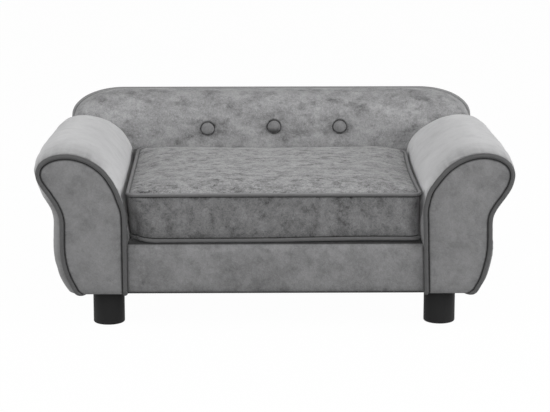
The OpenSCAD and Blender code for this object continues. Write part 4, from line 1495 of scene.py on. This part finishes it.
@dataclass
class Backrest:
    """The padded backrest: a rolled top, three covered buttons, a cord and a plain rear."""

    shop: Workshop
    side: float = 0.337
    base: float = 0.054
    top: float = 0.2985
    crown: float = 0.0015
    corner_wide: float = 0.088
    corner_high: float = 0.045
    face: float = 0.148
    cover_rear: float = 0.217
    hem_in: float = 0.0059
    hem_y: float = 0.2230
    roll_drop: float = 0.046
    side_round: float = 0.012
    drawn_in: float = 0.0055
    drawn_down: float = 0.0012
    cord_radius: float = 0.0031
    cord_y: float = 0.2195
    rear: float = 0.225
    button_radius: float = 0.0106
    button_thick: float = 0.0082
    button_rim: float = 0.0015
    button_spots: Table = ((-0.1070, 0.2385), (0.0035, 0.2415), (0.1130, 0.2415))
    # How strongly each button's lower half is painted with shade.
    button_turns: Numbers = (0, 1, 0)
    button_steps: int = 48
    button_hem: Table = ((0.99, -0.0006), (0.9, 0.0004), (0.02, 0.0004))
    rim_shade: Ramp = Ramp(0.88, 0.32)
    tuft_radius: float = 0.028
    tuft_depth: float = 0.0055
    tuft_zone: float = 0.02
    pinches: int = 7
    pinch_share: float = 0.06
    held_edge: float = 0.0006
    # The next two settings set how far the painted shade round each button reaches, further above it.
    tuck_reach: float = 0.0026
    tuck_reach_above: float = 0.0034
    # Painted shade on the cord's flanks, all but its front face.
    cord_flank: Ramp = Ramp(-0.75, 0.5)
    rear_in: float = 0.001
    rear_layers: tuple[float, float] = (0.0018, 0.0008)
    rear_crown: float = 0.0007
    rear_round: float = 0.01
    across: int = 132
    up: int = 46
    sections: Table = (
        (1.00, 0.07, 0.02, 0), (0.78, 0, 0, 1), (0.52, 0.04, 0.02, 1), (0.32, 0.14, 0.08, 0.8),
        (0.14, 0.36, 0.28, 0.4), (0.04, 0.66, 0.60, 0.1), (0, 1, 1, 0),
    )

    def edges(self, dx: float, dz: float, crown: float = 0) -> list[Points]:
        """The backrest's outline, evenly divided.

        Args:
            dx: how far its sides are drawn in.
            dz: how far its top is drawn down.
            crown: how much higher its top is in the middle.

        Returns:
            Its underside, right side, top and left side.
        """
        half, wide, top = self.side - dx, self.corner_wide - dx, self.top - dz
        flat = self.side - self.corner_wide

        def corner(start: int, end: int, turn: int) -> Points:
            """The rounding of one upper corner, between two angles."""
            g = np.radians(np.linspace(start, end, 12))
            return np.stack([
                turn * flat + wide * np.cos(g), top - self.corner_high * (1 - np.sin(g))
            ], 1)

        s = np.linspace(1, -1, 60)[1:-1]
        over = np.stack([flat * s, top + crown * (1 - s * s)], 1)
        right = np.vstack([[(half, self.base)], corner(0, 45, 1)])
        left = np.vstack([corner(135, 180, -1), [(-half, self.base)]])
        arch = np.vstack([corner(45, 90, 1), over, corner(90, 135, -1)])
        low = np.array([(-half, self.base), (half, self.base)])
        return [
            evenly(low, self.across), evenly(right, self.up),
            evenly(arch, self.across), evenly(left, self.up),
        ]

    def section(self, drop: float, side: float, crown: float) -> list[Points]:
        """The padded cover's four edges at one depth, inside the cord.

        Args:
            drop: the share of the roll's drop.
            side: the share of the rounding at the sides.
            crown: the share of the crown.

        Returns:
            The four edges, in order round the cover.
        """
        return self.edges(
            side * self.side_round + self.drawn_in, drop * self.roll_drop + self.drawn_down,
            crown * self.crown,
        )

    def shape(self) -> None:
        """Sews the padded cover, draws its buttons in and leaves it to be filled."""
        rows = [
            standing(ring(self.section(*s[1:])), self.face + s[0] * (self.cover_rear - self.face))
            for s in spline(self.sections, 3)
        ]
        front = standing(filled(self.section(*self.sections[-1][1:])), self.face)
        hem = self.edges(self.hem_in, self.hem_in)
        walls = np.array([standing(ring(hem), self.hem_y), *rows])
        pad = sewn("backrest_pad", [walls, front, standing(filled(hem), self.hem_y)], [True])
        at = coordinates(pad)
        faced = at[:, 1] < self.face + self.tuft_zone
        held = at[:, 1] > self.cover_rear - self.held_edge
        held |= at[:, 2] < self.base + self.held_edge
        for x, z in self.button_spots:
            away = np.hypot(at[:, 0] - x, at[:, 2] - z)
            near = (away < self.tuft_radius) & faced
            angle = np.arctan2(at[:, 2] - z, at[:, 0] - x)
            pinch = 1 + self.pinch_share * np.cos(self.pinches * angle + 11 * x)
            drawn = self.tuft_depth * np.clip(1 - (away * pinch / self.tuft_radius) ** 2, 0, 1) ** 2
            at[near, 1] += drawn[near]
            held |= (away < self.button_radius * 0.85) & faced
        set_coordinates(pad, at)
        self.pad = self.shop.cloth.take(Filling(pad, held, cap=0.0035, pressure=4.0, spare=0.006))

    def cord_path(self) -> Points:
        """The line of the covered cord round the rear edge."""
        edges = self.edges(self.cord_radius - 0.0006, self.cord_radius + 0.0004)
        return standing(np.vstack([edges[1], edges[2][1:], edges[3][1:]]), self.cord_y)

    def button(self, x: float, z: float, name: str, turned: float) -> bpy.types.Object:
        """One covered button with the tucks of its cloth round the rim.

        Args:
            x: the button's place across the backrest.
            z: its height.
            name: the piece's name.
            turned: how strongly its lower half is painted with shade, 0 to 1.

        Returns:
            The button.
        """
        drawn = self.tuft_depth * (1 - (self.button_radius / self.tuft_radius) ** 2) ** 2
        back = self.face + drawn
        turn = np.linspace(0, 2 * math.pi, self.button_steps + 1)[:-1]

        def circle(wide: float | Points, y: float) -> Points:
            """One row round the button, as a share of its radius."""
            return np.stack([
                x + self.button_radius * wide * np.cos(turn), np.full(self.button_steps, y),
                z + self.button_radius * wide * np.sin(turn),
            ], 1)

        dome = self.button_thick - self.button_rim
        rows = [
            circle(
                math.sin(g) * (1 + 0.012 * math.sin(g) ** 6 * np.cos(16 * turn)),
                back - self.button_rim - dome * math.cos(g),
            )
            for g in np.linspace(0.02, math.pi / 2, 12)
        ]
        rows += [circle(wide, back + y) for wide, y in self.button_hem]
        thing = sewn(name, [np.array(rows)], [True])
        close_ends(thing)
        at = coordinates(thing)
        # Painted shade: a dark rim, wider towards the bottom, and, by the turned share, a lower half
        # darker towards the bottom.
        rim = np.hypot(at[:, 0] - x, at[:, 2] - z) / self.button_radius
        drop = np.clip((z - at[:, 2]) / self.button_radius, -1, 1)
        dark = turned * np.clip(0.45 + 0.36 * drop, 0, 0.78)
        mark(thing, Mark.NEAR_SEAM, np.maximum(0.8 * self.rim_shade(rim + 0.44 * drop), dark))
        return thing

    def dress(self) -> None:
        """Adds the buttons, cord and rear cloth, and finishes the pad."""
        seam = self.cord_path()
        at = coordinates(self.pad)
        # Painted shade beside the cord.
        near, run = beside_seam(at, seam, self.cord_radius * 1.7)
        # A ring of painted shade round each button, reaching further above it.
        for x, z in self.button_spots:
            reach = np.hypot(at[:, 0] - x, at[:, 2] - z)
            over = np.clip((at[:, 2] - z) / np.clip(reach, SHORT_EDGE, None), 0, 1)
            away = np.clip(reach - self.button_radius, 0, 1)
            tuck = np.exp(-away / (self.tuck_reach + self.tuck_reach_above * over))
            near = np.maximum(near, 0.9 * tuck * (at[:, 1] < self.face + self.tuft_zone))
        mark_seams(self.pad, near, run)
        rounded(self.pad)
        hand_over(self.pad, "sofa", BACK_PLUSH, "backrest_cover", "backrest_foam")
        buttons = []
        places = zip(("left", "middle", "right"), self.button_spots, self.button_turns)
        for place, spot, turned in places:
            buttons.append(self.button(*spot, f"back_button_{place}", turned))
            hand_over(buttons[-1], "sofa", BUTTON_PLUSH)
        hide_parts("back_buttons")
        cord = self.shop.cord.run(
            "backrest_piping_cord", seam, False, BACK_PIPING,
            Radius=self.cord_radius, Step=0.0025, Gather=0.06, Gather_Length=0.006,
        )
        # Painted shade on the cord's flanks.
        mark(cord, Mark.FLANK, self.cord_flank(vertex_normals(cord)[:, 1]))
        hand_over(cord, "sofa", BACK_PIPING, "backrest_piping")
        self.rear_cloth(seam)

    def rear_cloth(self, seam: Points) -> None:
        """The plain cloth stretched over the rear."""
        edges = self.edges(self.rear_in, self.rear_in)
        flat = filled(edges)
        inner, outer = (self.rear - depth for depth in self.rear_layers)
        free = 1 - np.exp(-widths(flat, ring(edges)) / self.rear_round)
        waves = ripple(standing(flat, 0.0).reshape(-1, 3), 0.12, 1.2).reshape(free.shape)
        crowned = outer + self.rear_crown * free + 0.0001 * waves * free
        walls = np.array([standing(ring(edges), y) for y in (inner, outer)])
        cloth = sewn(
            "backrest_rear_cloth", [walls, standing(flat, crowned), standing(flat, inner)], [True]
        )
        # Painted shade beside the cord.
        mark_seams(cloth, *beside_seam(coordinates(cloth), seam, self.cord_radius))
        hand_over(cloth, "sofa", BACK_PLUSH, "backrest_rear_cover")


@dataclass
class Cushion:
    """The loose box cushion: crowned top, pulled-in band, two cords and a zipped rear."""

    shop: Workshop
    half: float = 0.2222
    front: float = -0.2125
    rear: float = 0.1465
    low: float = 0.1348
    low_seam: float = 0.1373
    high_seam: float = 0.2053
    crown: float = 0.0105
    crown_run: float = 0.1508
    front_pull: float = 0.0056
    right_pull: float = 0.0120
    left_spread: float = 0.0024
    left_spread_up: Ramp = Ramp(0.155, 0.045)
    left_spread_out: Ramp = Ramp(0.10, 0.12)
    band_pull: float = 0.0016
    band_rows: int = 16
    seam_in: float = 0.0045
    top_seam_up: float = 0.0008
    low_seam_down: float = 0.0006
    hem: Table = ((0.0065, 0.0014), (0.0103, 0.0006), (0.0210, 0))
    low_corner: float = 0.036
    low_ease: Ramp = Ramp(0.004, 0.045)
    sag: float = 0.0027
    sag_behind: Ramp = Ramp(0.003, 0.012)
    sag_up: Ramp = Ramp(0.002, 0.030)
    sag_left: Ramp = Ramp(-0.2125, 0.035)
    sag_right: Ramp = Ramp(-0.05, 0.20)
    cord_radius: float = 0.0025
    cord_pile: float = 0.0004
    # The next three settings paint shade on the top cord's underside and on the cords behind the
    # cushion's left rear; end_shade paints shade on the band's front ends.
    cord_under: Ramp = Ramp(-0.72, 0.36)
    cord_behind: Ramp = Ramp(-0.009, 0.004)
    cord_behind_left: Ramp = Ramp(-0.13, 0.12)
    end_shade: Ramp = Ramp(-0.0036, 0.0026)
    front_corner: float = 0.013
    left_corner: float = 0.014
    right_corner: float = 0.044
    zip_half: float = 0.165
    zip_y: float = 0.1395
    zip_z: float = 0.1713
    zip_front: float = 0.125
    zip_aside: Ramp = Ramp(0.002, 0.012)
    zip_above: Ramp = Ramp(0.001, 0.010)
    zip_back_gap: float = 0.0003
    zip_held: tuple[float, float] = (0.006, 0.004)
    held_edge: float = 0.0004
    held_seam: float = 0.0003
    top_cloth_edge: float = 0.001
    tape_half: float = 0.012
    tape_thick: float = 0.0006
    tape_gap: float = 0.0008
    tape_steps: int = 60
    teeth_ends: tuple[float, float] = (-0.159, 0.1546)
    teeth_pitch: float = 0.0025
    teeth_lift: float = 0.0007
    teeth_off: float = 0.0011
    stitch_in: float = 0.002
    across: int = 96
    deep: int = 78
    crowns: Table = ((0, 0), (0.05, 0.38), (0.16, 0.68), (0.38, 0.90), (0.68, 0.98), (1, 1))
    bands: Table = ((0, 0), (0.10, 0.62), (0.28, 1), (0.72, 1), (0.90, 0.62), (1, 0))

    def edges(self, d: float) -> list[Points]:
        """The cushion's front, right side, rear and left side in plan, drawn in by d."""
        half, front, rear = self.half - d, self.front + d, self.rear - d
        keep = 1 - 0.8 * d / self.crown_run
        small, tight, wide = (r * keep for r in (self.front_corner, self.left_corner, self.right_corner))

        def arc(x: float, y: float, r: float, start: int) -> Points:
            """Half of a corner's rounding, from an angle on."""
            g = np.radians(np.linspace(start, start + 45, 8))
            return np.stack([x + r * np.cos(g), y + r * np.sin(g)], 1)

        def line(start: Numbers, end: Numbers, bow: Numbers) -> Points:
            """A side between two corners, pushed over by the bow in its middle."""
            return np.array(start) + t * (np.array(end) - np.array(start)) + t * (1 - t) * np.array(bow)

        t = np.linspace(0, 1, 40)[:, None]
        return [
            evenly(np.vstack([
                arc(-half + small, front + small, small, 225),
                line((-half + small, front), (half - small, front), (0, self.front_pull)),
                arc(half - small, front + small, small, 270),
            ]), self.across),
            evenly(np.vstack([
                arc(half - small, front + small, small, 315),
                line((half, front + small), (half, rear - wide), (-self.right_pull, 0)),
                arc(half - wide, rear - wide, wide, 0),
            ]), self.deep),
            evenly(np.vstack([
                arc(half - wide, rear - wide, wide, 45),
                line((half - wide, rear), (-half + tight, rear), (0, 0)),
                arc(-half + tight, rear - tight, tight, 90),
            ]), self.across),
            evenly(np.vstack([
                arc(-half + tight, rear - tight, tight, 135),
                line((-half, rear - tight), (-half, front + small), (0, 0)),
                arc(-half + small, front + small, small, 180),
            ]), self.deep),
        ]

    def shape(self) -> None:
        """Sews the closed cushion and leaves it to be filled."""
        top_seam, low_seam = self.high_seam + self.top_seam_up, self.low_seam - self.low_seam_down
        outline = self.edges(self.seam_in)
        rows = [lying(ring(outline), top_seam)]
        span = self.high_seam - self.low_seam - 2 * self.cord_radius
        for t in np.linspace(0, 1, self.band_rows):
            d = self.cord_radius + self.cord_pile + read_off(self.bands, t) * self.band_pull
            rows.append(lying(ring(self.edges(d)), self.high_seam - self.cord_radius - t * span))
        rows.append(lying(ring(outline), low_seam))
        rows += [lying(ring(self.edges(d)), self.low + up) for d, up in self.hem]
        top = filled(outline)
        rise = read_off(self.crowns, widths(top, ring(outline)) / self.crown_run)
        upper = lying(top, top_seam + self.crown * rise)
        under = lying(filled(self.edges(self.hem[-1][0])), self.low)
        body = sewn("cushion_body", [np.array(rows), upper, under], [True])
        at = coordinates(body)
        aside, above = abs(at[:, 0]) - self.zip_half, abs(at[:, 2] - self.zip_z) - self.tape_half
        beside = (1 - self.zip_aside(aside)) * (1 - self.zip_above(above))
        beside *= at[:, 1] > self.zip_front
        at[:, 1] += beside * (self.zip_y - self.zip_back_gap - at[:, 1])
        set_coordinates(body, at)
        edge = edge_distance(at[:, :2], ring(outline))
        sewn_in = (abs(at[:, 2] - top_seam) < self.held_seam) | (at[:, 2] < self.low_seam)
        held = (edge < self.held_edge) & sewn_in
        beyond_x, beyond_z = self.zip_held
        held |= (at[:, 1] > self.zip_front) & (aside < beyond_x) & (above < beyond_z)
        held |= at[:, 2] < self.low_seam - self.held_edge
        self.body = self.shop.cloth.take(Filling(body, held, cap=0.0040, pressure=4.5, spare=0.006))

    def dress(self) -> None:
        """Finishes the cushion and adds its cords and zip."""
        at = self.settle(coordinates(self.body))
        set_coordinates(self.body, at)
        top, low = (self.settle(self.seam_path(z)) for z in (self.high_seam, self.low_seam))
        self.colour_faces()
        # The nearness to the cords sets painted shade beside them.
        near, along = np.empty(len(at)), np.empty(len(at))
        upper = at[:, 2] > (self.high_seam + self.low_seam) / 2
        for seam, part in ((top, upper), (low, ~upper)):
            near[part], along[part] = beside_seam(at[part], seam, self.cord_radius, 600)
        # Painted shade on the band's front ends.
        ends = 0.8 * self.end_shade(abs(at[:, 0]) - self.half)
        ends *= (at[:, 1] < self.front + self.low_corner) & (at[:, 2] < self.high_seam)
        mark_seams(self.body, np.maximum(near, ends), along)
        rounded(self.body)
        hand_over(self.body, "cushion", TOP_PLUSH,
                  "cushion_core", "cushion_top_panel", "cushion_band", "cushion_bottom_panel")
        for word, path, cloth in (("top", top, CUSHION_PIPING), ("bottom", low, LOW_PIPING)):
            cord = self.shop.cord.run(
                f"cushion_{word}_piping_cord", path[:-1], True, cloth, Gather_Length=0.005,
                Radius=self.cord_radius + self.cord_pile, Step=0.002, Gather=0.07,
            )
            # Painted shade on the top cord's underside, and on both cords behind the cushion's left
            # rear.
            shade = self.cord_under(-vertex_normals(cord)[:, 2]) if word == "top" else 0.0
            x, y = coordinates(cord).T[:2]
            behind = self.cord_behind(y - self.rear) * (1 - self.cord_behind_left(x))
            mark(cord, Mark.FLANK, np.maximum(shade, 0.9 * behind))
            hand_over(cord, "cushion", cloth, f"cushion_{word}_piping")
        self.zip_tape()
        self.zip_rows()

    def colour_faces(self) -> None:
        """Gives the top, the band and the underside their own greys of one plush: the top's lighter grey
        is painted light, the band's and underside's darker greys painted shade.
        """
        mesh = self.body.data
        for finish in (TOP_PLUSH, BAND_PLUSH, UNDER_PLUSH):
            mesh.materials.append(finish.material())
        centres = vectors(mesh.polygons, "center")
        height = centres[:, 2]
        high = self.high_seam - self.top_cloth_edge
        low = self.low_seam - self.held_edge - self.sagging(centres)
        side = np.where(height > high, 0, np.where(height < low, 2, 1))
        mesh.polygons.foreach_set("material_index", side.astype(np.int32))

    def settle(self, at: Points) -> Points:
        """Points of the cushion as it lies: its upper left filled out, its lower front eased."""
        x, y, z = at.T
        spread = self.left_spread * self.left_spread_up(z) * self.left_spread_out(-x)
        across = np.clip((self.low_corner - self.half - x) / self.low_corner, 0, None)
        deep = np.clip((self.front + self.low_corner - y) / self.low_corner, 0, None)
        slant = np.clip(np.hypot(across, deep), NO_LENGTH, None)
        drawn = np.where((across > 0) & (deep > 0), np.maximum(across, deep) / slant, 1)
        lower = 1 - self.low_ease(z - self.low_seam)
        inward = lower * (1 - drawn) * self.low_corner
        return at + np.stack([inward * across - spread, inward * deep, -self.sagging(at)], 1)

    def sagging(self, at: Points) -> Points:
        """How far the lower front edge hangs over the base, more on the left."""
        x, y, z = at.T
        front, lower = 1 - self.sag_behind(y - self.front), 1 - self.sag_up(z - self.low_seam)
        return self.sag * front * lower * self.sag_left(x) * (1 - self.sag_right(x))

    def seam_path(self, z: float) -> Points:
        """The line of one of the cushion's cords, back to its start."""
        loop = lying(ring(self.edges(self.cord_radius)), z)
        return np.vstack([loop, loop[:1]])

    def zip_tape(self) -> None:
        """The two strips of tape at the cushion's rear."""
        x = np.linspace(-self.zip_half, self.zip_half, self.tape_steps)
        strips = []
        for sign in (-1, 1):
            inner, outer = (self.zip_z + sign * off for off in (self.tape_gap, self.tape_half))
            thick = self.tape_thick
            section = ((inner, 0), (outer, 0), (outer, thick), (inner, thick), (inner, 0))
            strips.append(np.array([
                np.stack([x, np.full(len(x), self.zip_y + y), np.full(len(x), z)], 1)
                for z, y in section
            ]))
        tape = sewn("zip_tape_strips", strips)
        close_ends(tape)
        hand_over(tape, "cushion", TAPE, "zip_tape")

    def zip_rows(self) -> None:
        """The coupled teeth, and the rows of stitches along the tape."""
        y = self.zip_y + self.tape_thick
        for word, sign, shift in (("upper", 1, 0.0), ("lower", -1, self.teeth_pitch / 2)):
            z = self.zip_z + sign * self.teeth_off
            path = np.array([(x + shift, y + self.teeth_lift, z) for x in self.teeth_ends])
            teeth = self.shop.blocks.run(
                f"zip_teeth_{word}", evenly(path, 40), False, BLACK_PLASTIC,
                Pitch=self.teeth_pitch, Length=0.0013, Width=0.0028, Height=0.0014,
            )
            hand_over(teeth, "cushion", BLACK_PLASTIC, *(["zip_teeth"] if sign > 0 else []))
            z = self.zip_z + sign * (self.tape_half - self.stitch_in)
            line = np.array([(x, y, z) for x in (-self.zip_half, self.zip_half)])
            row = self.shop.stitches.run(
                f"zip_stitches_{word}", evenly(line, 40), False, THREAD,
                Pitch=0.0032, Length=0.0025, Width=0.0005, Height=0.0005,
            )
            hand_over(row, "cushion", THREAD)


@dataclass
class SeatBase:
    """The plain base: front cloth drawn over its rail, deck cloth, dust cover and staples."""

    shop: Workshop
    half: float = 0.223
    front: float = -0.216
    base: float = 0.054
    deck: float = 0.1345
    deck_layers: tuple[float, float] = (0.0006, 0.002)
    deck_front: float = -0.196
    foam_top: float = 0.1318
    foam_front: float = -0.208
    foam_round: float = 0.014
    foam_drop: float = 0.0075
    board_top: float = 0.1245
    rear: float = 0.148
    dust_half: float = 0.297
    dust_front: float = -0.2115
    dust_rear: float = 0.218
    dust_gap: float = 0.0009
    dust_sag: float = 0.0008
    dust_thick: float = 0.0006
    staple_in: float = 0.008
    staple_down: float = 0.0012
    # The next two settings place the painted shade along the front cloth's bottom edge.
    hem_y: float = -0.2155
    hem_radius: float = 0.0016
    top_shade: Ramp = Ramp(0.1262, 0.005)
    cloth_thick: float = 0.0016
    right_start: float = 0.17
    right_reach: Table = ((0.054, 0.0043), (0.095, 0.0043), (0.120, 0.0029), (0.134, 0.0023))
    profile: Table = (
        (0, -0.198, 0.0540), (0, -0.209, 0.0539), (0, -0.2136, 0.0549), (0, -0.2157, 0.0582),
        (0, -0.2160, 0.068), (0, -0.2160, 0.095), (0, -0.2158, 0.1140), (0, -0.2148, 0.1225),
        (0, -0.2118, 0.1285), (0, -0.2060, 0.1322), (0, -0.199, 0.1338), (0, -0.190, 0.1344),
    )

    def dress(self) -> None:
        """Makes the base's cloths and staples."""
        front = self.shop.panel.run(
            "base_front_cloth", spline(self.profile, 6), False, BASE_PLUSH,
            Width=2 * self.half, Bulge=0.0022, Across=110, Along=44,
        )
        weld(front)
        at = coordinates(front)
        right = Ramp(self.right_start, self.half - self.right_start)
        at[:, 0] += right(at[:, 0]) * read_off(self.right_reach, at[:, 2])
        set_coordinates(front, at)
        thick = front.modifiers.new("Cloth thickness", "SOLIDIFY")
        thick.thickness, thick.offset = self.cloth_thick, -1
        # Painted shade along the cloth's bottom edge and at its top under the cushion.
        low = np.array([(-self.half, self.hem_y, self.base), (self.half, self.hem_y, self.base)])
        near, run = beside_seam(at, low, self.hem_radius)
        mark_seams(front, np.maximum(near, 0.8 * self.top_shade(at[:, 2])), run)
        hand_over(front, "sofa", BASE_PLUSH, "base_front_cover", "front_pad")
        self.deck_foam()
        self.deck_cloth()
        self.dust_cover()

    def deck_foam(self) -> None:
        """The thin foam under the deck cloth, rounded at its front edge."""
        x, y = np.meshgrid(
            np.linspace(-self.half, self.half, 80), np.linspace(self.foam_front, self.rear, 120)
        )
        flat = np.stack([x, y], -1)
        turn = np.clip((y - self.foam_front) / self.foam_round, 0, 1)
        top = self.foam_top - self.foam_drop * (1 - np.sqrt(1 - (1 - turn) ** 2))
        foam = sheet_between("deck_foam_pad", lying(flat, top), lying(flat, self.board_top))
        hand_over(foam, "sofa", FOAM, "deck_pad")

    def deck_cloth(self) -> None:
        """The cloth stretched over the deck under the cushion."""
        x, y = np.meshgrid(
            np.linspace(-self.half, self.half, 90), np.linspace(self.deck_front, self.rear, 70)
        )
        flat = np.stack([x, y], -1)
        waves = ripple(lying(flat, 0.0).reshape(-1, 3), 0.11, 3.1).reshape(x.shape)
        upper, lower = (self.deck - depth for depth in self.deck_layers)
        top = lying(flat, upper + 0.0003 * waves)
        cloth = sheet_between("deck_lining", top, lying(flat, lower))
        hand_over(cloth, "sofa", DECK_CLOTH, "deck_cloth")

    def dust_cover(self) -> None:
        """The lining stapled under the frame, with its row of staples."""
        wide, front, rear = self.dust_half, self.dust_front, self.dust_rear
        x, y = np.meshgrid(np.linspace(-wide, wide, 90), np.linspace(front, rear, 66))
        flat = np.stack([x, y], -1)
        slack = (1 - (x / wide) ** 4) * (1 - ((2 * y - front - rear) / (rear - front)) ** 4)
        waves = ripple(lying(flat, 0.0).reshape(-1, 3), 0.13, 0.6).reshape(x.shape)
        sag = self.dust_sag * slack + 0.0003 * waves * slack
        under = lying(flat, self.base - self.dust_gap - sag)
        top = under + np.array([0, 0, self.dust_thick])
        cloth = sheet_between("dust_lining", top, under)
        hand_over(cloth, "sofa", LINING, "dust_cover")
        corners = [(-1, -1), (1, -1), (1, 1), (-1, 1), (-1, -1)]
        across, deep = wide - self.staple_in, (rear - front) / 2 - self.staple_in
        middle, z = (front + rear) / 2, self.base - self.staple_down
        path = np.array([(a * across, middle + b * deep, z) for a, b in corners])
        staples = self.shop.blocks.run(
            "dust_cover_staples", evenly(path, 240), False, STEEL,
            Pitch=0.046, Length=0.011, Width=0.0012, Height=0.0009,
        )
        hand_over(staples, "sofa", STEEL)


def sheet_between(name: str, top: Points, under: Points) -> bpy.types.Object:
    """A thin closed cloth between two surfaces of the same division."""
    rims = [
        np.array([top[0], under[0]]), np.array([top[-1], under[-1]]),
        np.array([top[:, 0], under[:, 0]]), np.array([top[:, -1], under[:, -1]]),
    ]
    return sewn(name, [top, under, *rims])


@dataclass
class Carcass:
    """The CAD pieces that stay as they are: boards, fixings, feet, zip metal, and the buttons' toggles
    and twines.
    """

    boards: tuple[str, ...] = (
        "front_rail", "rear_rail", "left_side_rail", "right_side_rail", "centre_slat", "seat_board",
        "foot_blocks", "left_arm_front_board", "right_arm_front_board", "left_arm_battens",
        "right_arm_battens", "backrest_board", "backrest_rim",
    )
    metal: tuple[str, ...] = (
        "frame_screws", "arm_bolts", "foot_screws", "zip_slider", "zip_puller",
    )
    feet: tuple[str, ...] = (
        "front_left_foot", "front_right_foot", "rear_left_foot", "rear_right_foot",
    )

    def dress(self) -> None:
        """Gives each CAD piece that stays its finish."""
        dressed = (
            (self.boards, TIMBER), (self.metal, STEEL), (self.feet, FOOT_PLASTIC),
            (("button_toggles",), BLACK_PLASTIC), (("button_twines",), THREAD),
        )
        for names, finish in dressed:
            for name in names:
                finish.wear(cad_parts[name])
                LOG.info("%s wears %s", name, finish.name)


@dataclass
class Studio:
    """The camera, the pale floor and the soft light."""

    place: Spot = (-0.039, -3.363, 0.903)
    pitch: float = 12.77
    turn: float = 0.72
    lens: float = 140.4
    sensor: float = 36.0
    far: float = 60.0
    floor_half: float = 12.0
    floor_level: tuple[float, float] = (0.42, 0.97)
    floor_glow: float = 0.98
    sky_level: tuple[float, float] = (0.3, 1.0)
    aim: Spot = (0, 0, 0.15)

    def build(self) -> None:
        """Sets up the camera, floor, lamps and world."""
        scene = bpy.context.scene
        scene.view_settings.view_transform = "Standard"
        camera = linked("camera", bpy.data.cameras.new("camera"))
        camera.location = self.place
        camera.rotation_euler = (math.radians(90 - self.pitch), 0, math.radians(-self.turn))
        camera.data.lens, camera.data.sensor_width = self.lens, self.sensor
        camera.data.clip_end = self.far
        scene.camera = camera
        self.floor()
        self.world(scene)
        self.lamp("right", (2.4, -1.0, 1.3), (1.8, 1.8), 46)
        self.lamp("left", (-2.4, -1.0, 1.3), (1.8, 1.8), 34)
        self.lamp("front", (0.0, -3.3, 1.2), (2.6, 1.8), 34)

    def floor(self) -> None:
        """A white floor that keeps a faint shadow."""
        h = self.floor_half
        corners = np.array([(-h, -h, 0), (h, -h, 0), (h, h, 0), (-h, h, 0)])
        ground = mesh_object("floor", corners, [(0, 1, 2, 3)])
        made = bpy.data.materials.new("floor")
        graph = blank_graph(made)
        level = graph.flat_tone(graph.seen_level(*self.floor_level))
        diffuse = graph.add("ShaderNodeBsdfDiffuse", {}, {"Color": level})
        glow = graph.add("ShaderNodeEmission", {}, {"Color": (1, 1, 1, 1), "Strength": 1.0})
        share = graph.seen_level(0, self.floor_glow)
        mixed = graph.add("ShaderNodeMixShader", {}, {"Fac": share})
        graph.feed(mixed.node.inputs[1], diffuse)
        graph.feed(mixed.node.inputs[2], glow)
        graph.add("ShaderNodeOutputMaterial", {}, {"Surface": mixed})
        ground.data.materials.append(made)

    def world(self, scene: bpy.types.Scene) -> None:
        """An even pale sky that the camera sees as white."""
        scene.world = bpy.data.worlds.new("studio")
        graph = blank_graph(scene.world)
        strength = graph.seen_level(*self.sky_level)
        sky = graph.add("ShaderNodeBackground", {}, {"Color": (1, 1, 1, 1), "Strength": strength})
        graph.add("ShaderNodeOutputWorld", {}, {"Surface": sky})

    def lamp(self, name: str, place: Spot, size: tuple[float, float], power: float) -> None:
        """One soft lamp.

        Args:
            name: the lamp's name.
            place: where it hangs.
            size: how wide and how deep it is.
            power: its power in watts.
        """
        light = bpy.data.lights.new(name, "AREA")
        light.shape, light.energy = "RECTANGLE", power
        light.size, light.size_y = size
        thing = linked(name, light)
        thing.location = place
        turned = (Vector(self.aim) - Vector(place)).to_track_quat("-Z", "Y")
        thing.rotation_euler = turned.to_euler()


def main() -> None:
    """Builds the sofa, fills its padded forms together and dresses every piece."""
    logging.basicConfig(level=logging.INFO, format="%(name)s: %(message)s")
    Studio().build()
    shop = Workshop(cord_tree(), row_tree(RowShape.STITCH), row_tree(RowShape.BLOCK),
                    drawn_panel_tree(), ClothShop())
    arms, backrest, cushion = Arms(shop), Backrest(shop), Cushion(shop)
    for padded in (arms, backrest, cushion):
        padded.shape()
    shop.cloth.run()
    for part in (arms, backrest, cushion, SeatBase(shop), Carcass()):
        LOG.info("dressing %s", type(part).__name__)
        part.dress()


if __name__ == "__main__":
    main()
